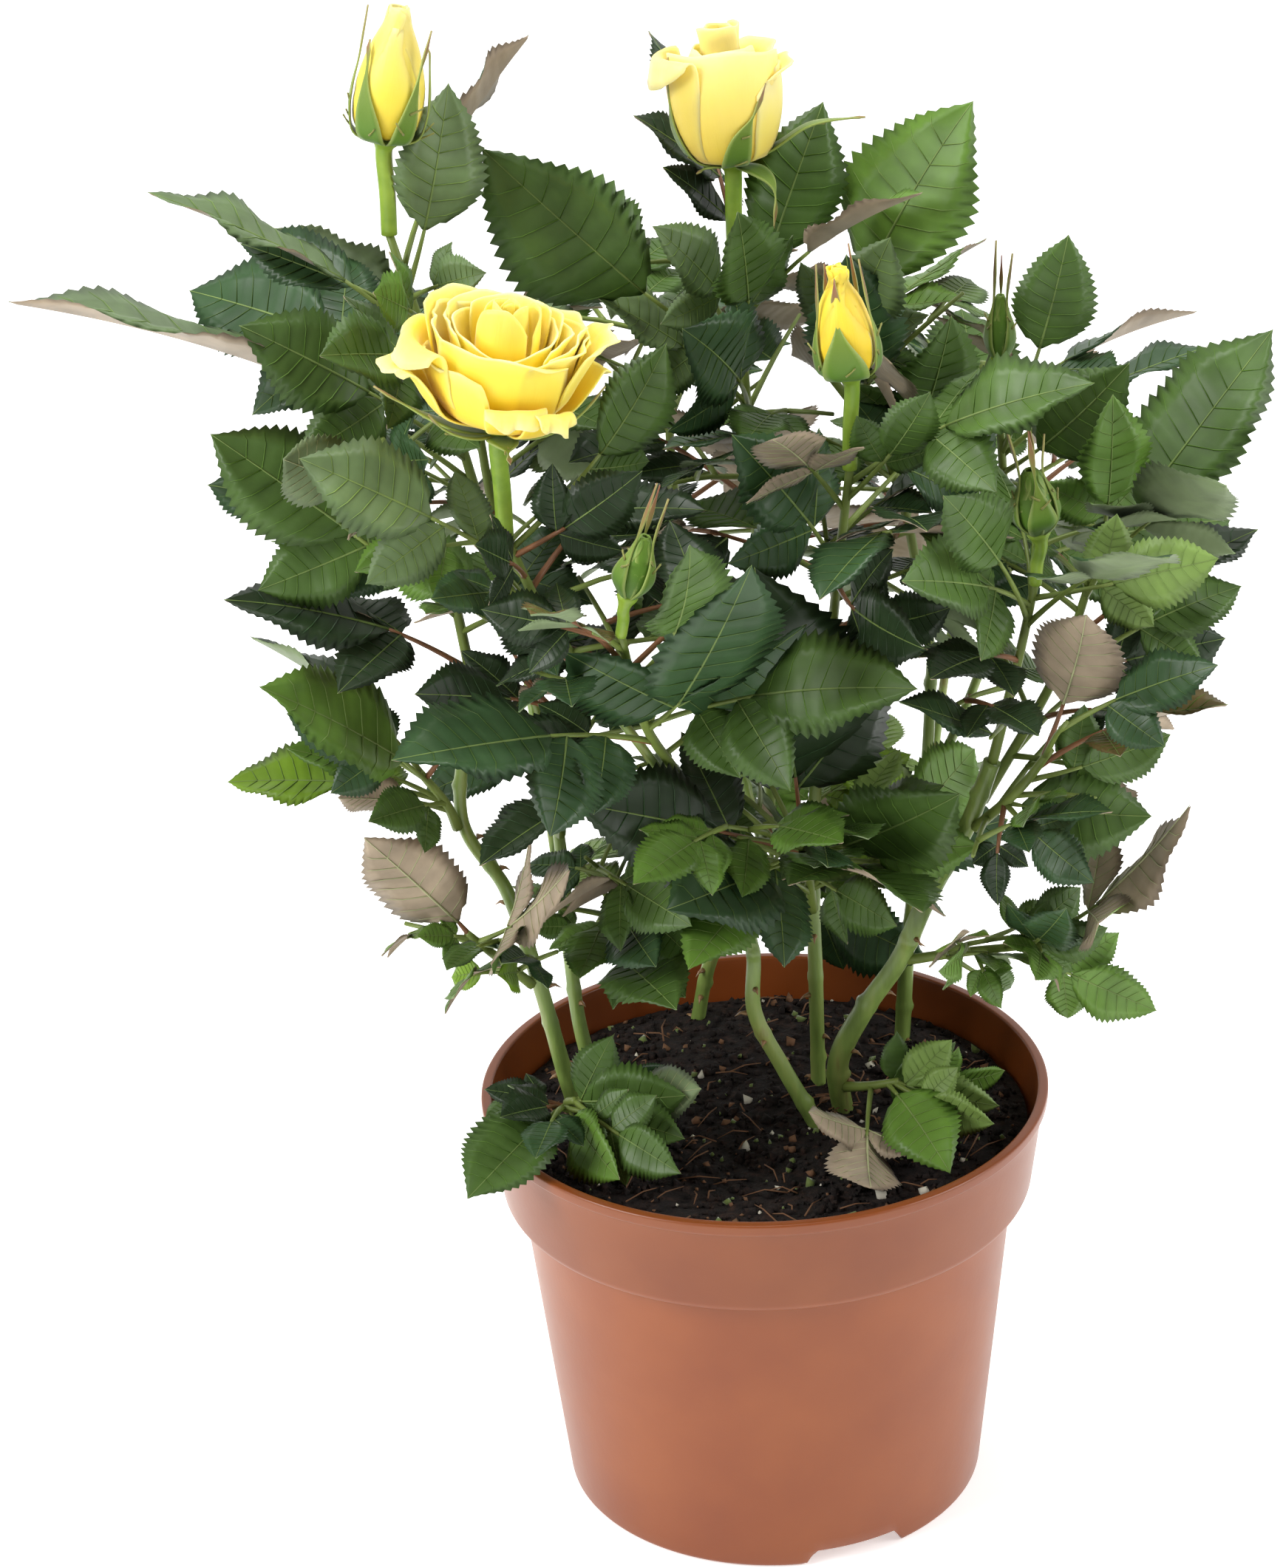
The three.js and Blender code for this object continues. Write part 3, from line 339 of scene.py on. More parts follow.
def bump(tree, shader, height, millimetres, strength):
    """Relief of that height, in millimetres, on the shader's normal."""
    inputs = {"Height": height, "Distance": millimetres * MM, "Strength": strength}
    made = node(tree, "ShaderNodeBump", inputs)
    tree.links.new(made.outputs["Normal"], shader.inputs["Normal"])


def leaf_material(name, code, roughness, sheen=0.0):
    """Living leaf tissue under a thin waxy cuticle, which gives it a soft gloss. The colour is
    cloudy within a fifth either way, and the skin has a fine grain."""
    skin = {"sheen_weight": sheen, "sheen_roughness": 0.5}
    made, tree, shader = material(name, roughness=roughness, ior=1.4, **skin)
    span = {"From Min": 0.3, "From Max": 0.7, "To Min": 0.8, "To Max": 1.2}
    cloud = node(tree, "ShaderNodeMapRange", {"Value": noise(tree, 8.0), **span})
    tint = {"Color": linear(code), "Value": cloud.outputs["Result"]}
    paint(tree, shader, node(tree, "ShaderNodeHueSaturation", tint).outputs["Color"])
    bump(tree, shader, noise(tree, 1.1, 2.0), 0.05, 0.5)
    return made


# Tops of the leaves: waxy and satin. The old ones are blue-green, the young ones bright or bronze.
TOPS = {
    tone: leaf_material("leaf_top_" + title, code, roughness)
    for tone, title, code, roughness in (
        ("deep", "deep", "#22331a", 0.42), ("blue", "blue_green", "#324c2c", 0.4),
        ("mid", "green", "#466029", 0.44), ("grey", "grey_green", "#5c7146", 0.5),
        ("fresh", "fresh", "#58792c", 0.46), ("bright", "bright", "#6a8a1e", 0.46),
        ("light", "light", "#728c45", 0.48), ("bronze", "bronze", "#5f502a", 0.44),
    )
}
# Undersides: dull, with a bloom of wax that greys them. Some are mauve.
UNDERS = {
    "green": leaf_material("leaf_under_grey_green", "#71825a", 0.62, 0.1),
    "taupe": leaf_material("leaf_under_taupe", "#95856f", 0.62, 0.1),
}
RIB = leaf_material("leaf_midrib", "#6f8446", 0.5)
UNDER_RIB = leaf_material("leaf_midrib_under", "#a3a67c", 0.55)
TONES = list(TOPS)
LEAF_SLOTS = [*TOPS.values(), *UNDERS.values(), RIB, UNDER_RIB]
# the side veins of a leaf have the colour of a lighter leaf
VEIN_TONES = {
    "deep": "blue", "blue": "mid", "mid": "fresh", "grey": "light", "fresh": "light",
    "bright": "light", "light": "light", "bronze": "fresh",
}


def cane_material():
    """Green rose bark: smooth and waxy, flushed brown in long streaks, with fine corky specks."""
    made, tree, shader = material("cane_green_bark", roughness=0.42, ior=1.45, coat_weight=0.15)
    drawn = {"Vector": object_spot(tree), "Scale": (1.0, 1.0, 0.18)}
    long = node(tree, "ShaderNodeMapping", drawn).outputs["Vector"]
    stops = (0.3, "#5f7436"), (0.5, "#7d9449"), (0.66, "#8d9a52"), (0.8, "#7b6a41")
    paint(tree, shader, ramp(tree, noise(tree, 5.0, 4.0, long), *stops))
    bump(tree, shader, noise(tree, 1.2, 3.0, long), 0.25, 0.6)
    return made


def petal_material(name, *stops):
    """Rose petal: velvety, golden in its depth and pale at its rim, with fine veins along it.
    Light that enters one side glows through the other."""
    made, tree, shader = material(
        name, roughness=0.5, ior=1.4, sheen_weight=0.25, sheen_roughness=0.4,
        subsurface_weight=0.3, subsurface_radius=(1.0, 0.8, 0.2), subsurface_scale=0.004,
    )
    along, across = attribute(tree, "along"), attribute(tree, "across")
    paint(tree, shader, ramp(tree, along, *stops))
    veins = node(tree, "ShaderNodeCombineXYZ", {"X": across, "Y": along}).outputs[0]
    drawn = node(tree, "ShaderNodeMapping", {"Vector": veins, "Scale": (26.0, 3.0, 1.0)})
    grain = {"Vector": drawn.outputs[0], "Scale": 1.0, "Detail": 3.0}
    bump(tree, shader, node(tree, "ShaderNodeTexNoise", grain).outputs["Fac"], 0.12, 0.5)
    return made


def sepal_material():
    """Sepals: yellow-green, shaded along their length, red-brown at the tips and pale at the
    rim, where fine down catches the light."""
    made, tree, shader = material("sepal_green", roughness=0.5, ior=1.42, sheen_weight=0.15)
    stops = (0.0, "#456a18"), (0.3, "#557a1c"), (0.72, "#6f842a"), (0.95, "#8a5540")
    body = ramp(tree, attribute(tree, "along"), *stops)
    across = {0: attribute(tree, "across")}
    off = node(tree, "ShaderNodeMath", across, operation="ABSOLUTE").outputs[0]
    share = {"Value": off, "From Min": 0.7, "To Max": 0.55}
    rim = node(tree, "ShaderNodeMapRange", share).outputs["Result"]
    # sockets 6 and 7 take the two colours, and output 2 gives their mixture
    mixed = node(tree, "ShaderNodeMix", {"Factor": rim}, data_type="RGBA")
    tree.links.new(body, mixed.inputs[6])
    mixed.inputs[7].default_value = linear("#a3b060")
    paint(tree, shader, mixed.outputs[2])
    bump(tree, shader, noise(tree, 0.8, 2.0), 0.1, 0.5)
    return made


def stalk_material():
    """Flower stalk: juicy, bright yellow-green and faintly mottled."""
    made, tree, shader = material(
        "flower_stalk_green", roughness=0.42, ior=1.45,
        subsurface_weight=0.1, subsurface_radius=(0.6, 1.0, 0.2), subsurface_scale=0.0015,
    )
    paint(tree, shader, ramp(tree, noise(tree, 6.0), (0.35, "#75942f"), (0.65, "#8fab3c")))
    bump(tree, shader, noise(tree, 0.7, 2.0), 0.08, 0.5)
    return made


def pot_material():
    """Moulded polypropylene, terracotta brown: satin, faintly mottled, with handling scuffs. The
    band is painted a shade deeper: painted shade that stands in for the shadow the crown casts on it."""
    gloss = {"ior": 1.46, "coat_weight": 0.04, "coat_roughness": 0.25}
    made, tree, shader = material("pot_moulded_polypropylene", **gloss)
    spot = object_spot(tree)
    colour = ramp(tree, noise(tree, 26.0, 4.0, spot), (0.3, "#823f17"), (0.7, "#8d491d"))
    # painted shade: from 75 mm to 78 mm up, the colour darkens to 0.84 of its value, for the crown's
    # shadow on the band
    high = node(tree, "ShaderNodeSeparateXYZ", {"Vector": spot}).outputs["Z"]
    painted_band_shade = {"Value": high, "From Min": 0.075, "From Max": 0.078, "To Min": 1.0, "To Max": 0.84}
    shade = node(tree, "ShaderNodeMapRange", painted_band_shade).outputs["Result"]
    tint = node(tree, "ShaderNodeHueSaturation", {"Color": colour, "Value": shade})
    paint(tree, shader, tint.outputs["Color"])
    scuffs = ramp(tree, noise(tree, 7.0, 6.0, spot), (0.4, "#5a5a5a"), (0.75, "#8c8c8c"))
    rough = node(tree, "ShaderNodeMapRange", {"Value": scuffs, "To Min": 0.3, "To Max": 0.46})
    tree.links.new(rough.outputs["Result"], shader.inputs["Roughness"])
    bump(tree, shader, noise(tree, 1.4, 2.0, spot), 0.03, 0.5)
    return made


def peat_material():
    """Moist peat: nearly black, matt, flecked with brown fibre."""
    made, tree, shader = material("peat_moist", roughness=0.92, ior=1.4)
    stops = (0.35, "#0f0907"), (0.55, "#1b110d"), (0.75, "#332118")
    paint(tree, shader, ramp(tree, noise(tree, 2.4, 6.0), *stops))
    bump(tree, shader, noise(tree, 1.2, 6.0), 0.8, 0.9)
    return made


CANE = cane_material()
PETAL = petal_material(
    "petal_yellow",
    (0.0, "#f6b212"), (0.35, "#ffd22e"), (0.65, "#ffe44e"), (0.88, "#ffeb78"), (1.0, "#fff2a0"),
)
CREAM = petal_material(
    "petal_cream", (0.0, "#f4bc30"), (0.3, "#ffd650"), (0.68, "#ffe472"), (1.0, "#fff0a0")
)
SEPAL = sepal_material()
STALK = stalk_material()
POT = pot_material()
PEAT = peat_material()
PETIOLE = leaf_material("leaf_stalk_green", "#6d7d3a", 0.45)
PETIOLE_RED = leaf_material("leaf_stalk_red", "#7a5236", 0.45)
# small things: horny prickles, expanded perlite, stray plant fibre and cushions of moss
PRICKLE = material("prickle_horn", base_color=linear("#8a6a45"), roughness=0.4, ior=1.5)[0]
PERLITE = material("perlite_white", base_color=linear("#c9c3b2"), roughness=0.85)[0]
FIBRE = material("peat_fibre", base_color=linear("#6b4a30"), roughness=0.85)[0]
MOSS = material("moss_green", base_color=linear("#5b6b2c"), roughness=0.8, sheen_weight=0.3)[0]


# ---- arithmetic ----
def unit(v):
    """A vector, or each vector of an array, made one long."""
    return v / np.linalg.norm(v, axis=-1, keepdims=True)


def square(v, to):
    """The part of v at right angles to the unit vector to, made one long."""
    return unit(v - np.sum(v * to, axis=-1, keepdims=True) * to)


def polar(degrees):
    """A level unit vector, turned from +X."""
    return np.array([np.cos(np.radians(degrees)), np.sin(np.radians(degrees)), 0.0])


def curve(points, t):
    """Catmull-Rom curve: a cubic through each pair of points, whose slope at a point is half the
    step between its neighbours, with straight ends. t runs from 0 to 1 over all the points."""
    p = np.asarray(points, float)
    p = np.vstack([2 * p[0] - p[1], p, 2 * p[-1] - p[-2]])
    s = np.clip(np.atleast_1d(t), 0, 1) * (len(p) - 3)
    i = np.minimum(s.astype(int), len(p) - 4)
    f = (s - i)[:, None]
    a, b, c, d = p[i], p[i + 1], p[i + 2], p[i + 3]
    squared, cubed = 2 * a - 5 * b + 4 * c - d, 3 * b - a - 3 * c + d
    return 0.5 * (2 * b + (c - a) * f + squared * f**2 + cubed * f**3)


def slope(points, t):
    """The curve's heading at t."""
    return unit(curve(points, t + 1e-3) - curve(points, t - 1e-3))


def draw_from(seed):
    """A Park-Miller sequence of numbers from 0 to 1, the same as the solids use."""
    x = seed
    while True:
        x = x * 16807 % 2147483647
        yield x / 2147483647


def swing(draw, span):
    """The next number of a sequence, spread from -span to span."""
    return (2 * next(draw) - 1) * span


def aimed(turn, rise):
    """A unit vector turned from +X by degrees, and raised from the level by radians."""
    return polar(turn) * np.cos(rise) + UP * np.sin(rise)


# ---- objects, and piles of small surfaces that are joined into one piece ----
def add_object(name, data):
    """A new object in the scene, at the origin."""
    made = bpy.data.objects.new(name, data)
    bpy.context.scene.collection.objects.link(made)
    return made


class Pile:
    """Points, faces and material slots of many small surfaces. Each point has two marks, which
    the materials of petals and sepals read as its place along and across the sheet."""

    def __init__(self):
        self.points, self.faces, self.slots, self.marks, self.count = [], [], [], [], 0

    def put(self, points, faces, slot=0, marks=None):
        """Adds a surface, whose faces number its own points."""
        points = np.asarray(points, float).reshape(-1, 3)
        faces = np.asarray(faces)
        self.points.append(points)
        self.faces.append(faces + self.count)
        self.slots.append(np.broadcast_to(slot, len(faces)))
        marks = np.zeros((len(points), 2)) if marks is None else marks
        self.marks.append(np.reshape(marks, (-1, 2)))
        self.count += len(points)

    def fan(self, centre, ring):
        """Closes a ring of points, given by their numbers in order, by a point in its middle."""
        ring = np.asarray(ring)
        self.faces.append(np.stack([np.full(len(ring), self.count), ring, np.roll(ring, -1)], -1))
        self.slots.append(np.zeros(len(ring), int))
        self.points.append(np.array([centre], float))
        self.marks.append(np.zeros((1, 2)))
        self.count += 1


def piece(name, pile, materials, replaced, marked=False):
    """Puts a pile into one mesh object that rides on the root and stands for the solids named."""
    mesh = bpy.data.meshes.new(name)
    mesh.vertices.add(pile.count)
    mesh.vertices.foreach_set("co", (np.vstack(pile.points) * MM).ravel())
    sizes = np.concatenate([np.full(len(f), f.shape[1]) for f in pile.faces])
    mesh.loops.add(int(sizes.sum()))
    mesh.loops.foreach_set("vertex_index", np.concatenate([f.ravel() for f in pile.faces]))
    mesh.polygons.add(len(sizes))
    mesh.polygons.foreach_set("loop_start", np.concatenate([[0], np.cumsum(sizes)[:-1]]))
    mesh.polygons.foreach_set("material_index", np.concatenate(pile.slots))
    mesh.polygons.foreach_set("use_smooth", np.ones(len(sizes), bool))
    if marked:
        marks = np.vstack(pile.marks)
        for i, title in enumerate(("along", "across")):
            mesh.attributes.new(title, "FLOAT", "POINT").data.foreach_set("value", marks[:, i])
    mesh.update(calc_edges=True)
    mesh.validate()
    for item in materials:
        mesh.materials.append(item)
    made = add_object(name, mesh)
    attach(made, "root")
    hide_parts(*replaced)
    return made


def quads(index):
    """Four-cornered faces between the points whose numbers stand in a grid."""
    corners = [index[:-1, :-1], index[:-1, 1:], index[1:, 1:], index[1:, :-1]]
    return np.stack(corners, -1).reshape(-1, 4)


def lattice(rows, columns, closed=False):
    """Faces of a grid of points, row by row. A closed grid joins its last column to its first."""
    index = np.arange(rows * columns).reshape(rows, columns)
    return quads(np.hstack([index, index[:, :1]]) if closed else index)


def tubes(pile, routes, radii, sides, slot=0, marks=None):
    """Round limbs: each ring is centre + radius (cos a, sin a) square to the route, and the ends
    are closed by a point. routes is limbs x rings x 3, radii is limbs x rings (x sides)."""
    routes = np.asarray(routes, float)
    count, rings, _ = routes.shape
    radii = np.asarray(radii, float)
    radii = radii[..., None] if radii.ndim == 2 else radii
    ahead = unit(np.gradient(routes, axis=1))
    chord = unit(routes[:, -1] - routes[:, 0])
    level = np.where(np.abs(chord[:, :1]) < 0.75, [[1.0, 0, 0]], [[0, 1.0, 0]])[:, None]
    first = square(np.broadcast_to(level, routes.shape), ahead)
    second = np.cross(ahead, first)
    a = np.arange(sides) * 2 * np.pi / sides
    ring = first[:, :, None] * np.cos(a)[:, None] + second[:, :, None] * np.sin(a)[:, None]
    points = routes[:, :, None] + ring * radii[..., None]
    faces = lattice(rings, sides, closed=True)
    size = rings * sides + 2
    ends = np.stack([routes[:, 0], routes[:, -1]], 1)
    everything = np.concatenate([points.reshape(count, -1, 3), ends], 1)
    turn = np.arange(sides)
    after = (turn + 1) % sides
    low = np.stack([np.full(sides, rings * sides), after, turn], -1)
    last = (rings - 1) * sides
    high = np.stack([np.full(sides, rings * sides + 1), last + turn, last + after], -1)
    shift = (np.arange(count) * size)[:, None, None]
    before = pile.count
    pile.put(everything, (faces[None] + shift).reshape(-1, 4), slot, marks)
    for cap in (low, high):
        pile.faces.append((cap[None] + shift).reshape(-1, 3) + before)
        pile.slots.append(np.broadcast_to(slot, count * sides))


# ---- the plant's rule, the same as in the solids ----
def leaving(points, foot, tip, at, toward, radius):
    """The place where a branch of that radius leaves a limb for a point: clear of the limb's cut
    tip where at is 1, and otherwise clear of its side."""
    p = curve(points, at)[0]
    axis = slope(points, at)[0]
    out = axis if at == 1 else square(toward - p, axis)
    edge = p + out * (0 if at == 1 else foot + (tip - foot) * at)
    lean = np.dot(unit(toward - edge), out)
    return edge + out * (radius * np.sqrt(1 - lean**2) + GAP)


def join(points, start):
    """A branch's points, with its start in front."""
    return np.vstack([start, np.asarray(points, float)])


limbs = {name: (np.array(line, float), foot, tip) for name, (line, foot, tip) in CANES.items()}
for name, (on, at, points, foot, tip) in BOUGHS.items():
    start = leaving(*limbs[on], at, np.array(points[0], float), foot)
    limbs[name] = (join(points, start), foot, tip)

masses = []
for i, (name, (on, at, points, size, fill, finer, reach)) in enumerate(SHOOTS.items()):
    line = join(points, leaving(*limbs[on], at, np.array(points[0], float), STEM_CLEAR))
    masses.append({
        "name": name, "line": line, "spots": curve(line, np.arange(9) / 8), "size": size,
        "fill": fill, "finer": finer, "reach": reach, "seed": SEED + i * SEED_STEP,
    })


def tree_of(points, faces):
    """A box and a search tree for a small surface."""
    points = np.asarray(points, float).reshape(-1, 3)
    corners = [[int(i) for i in face] for face in faces]
    return points.min(0), points.max(0), BVHTree.FromPolygons(points.tolist(), corners)


def tree_of_node(name):
    """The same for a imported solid."""
    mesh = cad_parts[name].data
    points = np.empty(len(mesh.vertices) * 3)
    mesh.vertices.foreach_get("co", points)
    return tree_of(points / MM, [p.vertices for p in mesh.polygons])


placed = [(*tree_of_node(name), None, False) for name in ("pot", "peat", *limbs, *BLOOMS)]


def rough_tube(line, foot, tip):
    """A limb as a three-sided tube, to test for touching."""
    pile = Pile()
    tubes(pile, line[None], np.linspace(foot, tip, len(line))[None], 3)
    return tree_of(np.vstack(pile.points), [f for faces in pile.faces for f in faces])


for mass in masses:
    placed.append((*rough_tube(mass["spots"], STEM_FOOT, STEM_TIP), mass["name"], False))


def is_free(shape, owner, is_stalk):
    """Whether a rough shape touches nothing: other parts, and the blades of its own mass."""
    low, high, tree = shape
    for other_low, other_high, other, name, is_blade in placed:
        if name == owner and is_stalk and not is_blade:
            continue
        if np.any(low > other_high) or np.any(other_low > high):
            continue
        if tree.overlap(other):
            return False
    return True


def in_own_space(p, owner):
    """Whether a point is nearer to its own mass's stem than to any other, give or take 2 mm."""
    away = {m["name"]: np.min(np.linalg.norm(m["spots"] - p, axis=1)) for m in masses}
    return away[owner["name"]] < min(away.values()) + 2


def compound(foot, tip, turn, share, count, facing):
    """A leaf: a stalk that arches over its chord, an end leaflet, and side leaflets in pairs."""
    long = np.linalg.norm(tip - foot)
    chord = unit(tip - foot)
    n = square(facing, chord)
    angle = np.radians(turn)
    n = n * np.cos(angle) + np.cross(chord, n) * np.sin(angle)
    s = np.cross(chord, n)
    start = 1 - share

    def at(t):
        return foot + chord * long * t + n * LEAF_ARCH * long * 4 * t * (1 - t)

    def leaflet(origin, ahead, facing_up, length, is_end):
        up = square(facing_up, ahead)
        return {"foot": origin, "ahead": ahead, "up": up, "long": length, "end": is_end}

    end_chord = unit(tip - at(start))
    ahead = unit(end_chord + square(n, end_chord) * LEAF_CURL)
    leaflets = [leaflet(at(start), ahead, n, long * share, True)]
    for place, size in PAIRS[: (count - 1) // 2]:
        t = start * place
        along = unit(chord + n * LEAF_ARCH * 4 * (1 - 2 * t))
        up = square(n, along)
        for way in (1, -1):
            across = s * np.sin(np.radians(LEAF_SPREAD)) * way
            ahead = unit(-0.22 * up + along * np.cos(np.radians(LEAF_SPREAD)) + across)
            origin = at(t) + s * way * PETIOLE_TIP
            tilted = up - s * 0.15 * way
            leaflets.append(leaflet(origin, ahead, tilted, long * share * size, False))
    return {"route": np.array([at(t) for t in np.linspace(0, start, 7)]), "leaflets": leaflets}


def rough_blade(leaflet):
    """A leaflet as a fan of flat faces, to test for touching, and its middle."""
    f, a, u, long = (leaflet[key] for key in ("foot", "ahead", "up", "long"))
    s = np.cross(a, u)
    half = long * LEAF_WIDTH / 2

    def at(along, w):
        lift = abs(w) * half * 0.2 - LEAF_CURL * long * along**2
        return f + a * long * along + s * w * half + u * lift

    rim = [f + a * 0.6, at(0.4, 1), at(1, 0), at(0.4, -1)]
    if leaflet["end"]:
        rim = [f + a * 0.6, at(0.4, 1), at(0.74, 0.62), at(1, 0), at(0.74, -0.62), at(0.4, -1)]
    middle = at(0.4, 0)
    points = [*rim, middle + u * 0.5]
    count = len(rim)
    return tree_of(points, [(count, i, (i + 1) % count) for i in range(count)]), middle


leaves = []


def grow(mass, leaf, tone, own_space, needs_end):
    """Adds a leaf without the leaflets that would touch something, or, with own_space, that lie
    nearer to another mass. Says whether it was added, which needs_end ties to the end leaflet."""
    stalk = rough_tube(leaf["route"][::3], PETIOLE_FOOT, PETIOLE_TIP)
    if not is_free(stalk, mass["name"], True):
        return False
    kept = []
    for leaflet in leaf["leaflets"]:
        shape, middle = rough_blade(leaflet)
        if (not own_space or in_own_space(middle, mass)) and is_free(shape, mass["name"], False):
            kept.append((leaflet, shape))
    if not kept or (needs_end and not kept[0][0]["end"]):
        return False
    placed.append((*stalk, mass["name"], False))
    placed.extend((*shape, mass["name"], True) for _, shape in kept)
    blades = [leaflet for leaflet, _ in kept]
    leaves.append({"mass": mass["name"], "route": leaf["route"], "leaflets": blades, "tone": tone})
    return True


def grow_named(mass, rows):
    """Leaves by name, as those that reach the edge of the crown."""
    for at, x, y, z, turn, share, count, tone in rows:
        foot = curve(mass["line"], at)[0]
        tip = np.array([x, y, z], float)
        for extra in TURNS:
            leaf = compound(foot, tip, turn + extra, share, count, FRONT)
            if grow(mass, leaf, tone, own_space=False, needs_end=True):
                break


def facing_out(p):
    """The way a leaf looks: up, and outwards from the middle of the crown."""
    out = p - CROWN_AXIS
    out[2] = 0
    return unit(out) * 0.55 + UP * 0.85


def grow_fill(mass):
    """Leaves dealt out along the stem by the golden angle, rising more towards its tip."""
    draw = draw_from(mass["seed"])
    phase = next(draw) * 360
    for k in range(mass["fill"]):
        at = 0.08 + 0.9 * (k + 0.5) / mass["fill"]
        turn = phase + k * GOLDEN + swing(draw, 15)
        rise = np.radians(-6 + 44 * at + swing(draw, 12))
        long = mass["size"] * (1.05 - 0.25 * at) * (0.85 + 0.3 * next(draw))
        roll = swing(draw, 25)
        count = 5 if next(draw) < 0.7 else 3
        foot = curve(mass["line"], at)[0]
        tip = foot + polar(turn) * long * np.cos(rise) + UP * long * np.sin(rise)
        leaf = compound(foot, tip, roll, FILL_SHARE, count, facing_out((foot + tip) / 2))
        grow(mass, leaf, None, own_space=True, needs_end=False)


twigs = []


def within_reach(p, name):
    """Whether a point lies 2 mm or more inside the box of a mass's solid."""
    low, high = (np.array(corner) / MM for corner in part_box(name))
    return np.all(p > low + 2) and np.all(p < high - 2)


def grow_finer(mass):
    """Finer growth within the mass's reach: side twigs, each with a few smaller leaves. A leaf
    that finds no room is tried again, rolled or shorter."""
    draw = draw_from(mass["seed"] + FINER_SEED)
    phase = next(draw) * 360
    for k in range(mass["finer"]):
        at = 0.04 + 0.92 * (k + 0.5) / mass["finer"]
        turn = phase + k * GOLDEN + swing(draw, 20)
        rise = np.radians(40 * next(draw) - 5 + 20 * at)
        long = mass["size"] * (0.26 + 0.3 * next(draw))
        foot = curve(mass["line"], at)[0]
        way = aimed(turn, rise)
        twig = np.array([foot, foot + way * long * 0.5 + UP * 0.04 * long, foot + way * long])
        shape = rough_tube(twig, TWIG_CLEAR, TWIG_TIP)
        open_way = is_free(shape, mass["name"], True)
        before = len(leaves)
        for place, side, size, count in TWIG_LEAVES:
            base = curve(twig, place)[0]
            reach = mass["size"] * size * (0.8 + 0.3 * next(draw))
            lift = np.radians(30 * next(draw) - 4)
            way = aimed(turn + side, lift)
            roll = swing(draw, 30)
            for extra, scale in TRIES if open_way else ():
                end = base + way * reach * scale
                facing = facing_out((base + end) / 2)
                leaf = compound(base, end, roll + extra, FINER_SHARE, count, facing)
                if not within_reach(end, mass["name"]):
                    continue
                if grow(mass, leaf, None, own_space=False, needs_end=True):
                    break
        if len(leaves) > before:
            twigs.append(twig)
            placed.append((*shape, mass["name"], False))


for mass in masses:
    grow_named(mass, mass["reach"])
for mass in masses:
    grow_fill(mass)
for mass in masses:
    grow_named(mass, MORE.get(mass["name"], ()))
for mass in masses:
    grow_finer(mass)


# ---- leaflets: many at once ----
def ribs(pile, sheet, out, scale, slot, side_slot):
    """A midrib along a sheet of rows x columns, and a side vein from it towards every second
    tooth, which ends short of the rim. out lifts them off the sheet."""
    middle = sheet[:, ::4, 2] + out
    tubes(pile, middle, np.linspace(0.34, 0.09, middle.shape[1]) * scale, 4, slot)
    for rim, inward in ((0, 1), (4, 3)):
        for row in range(3, sheet.shape[1] - 8, 4):
            end = sheet[:, row + 2, inward] * 0.4 + sheet[:, row + 2, rim] * 0.6
            vein = np.stack([sheet[:, row, 2], sheet[:, row + 1, inward], end], 1) + out
            tubes(pile, vein, np.array([0.15, 0.12, 0.04]) * scale, 3, side_slot)


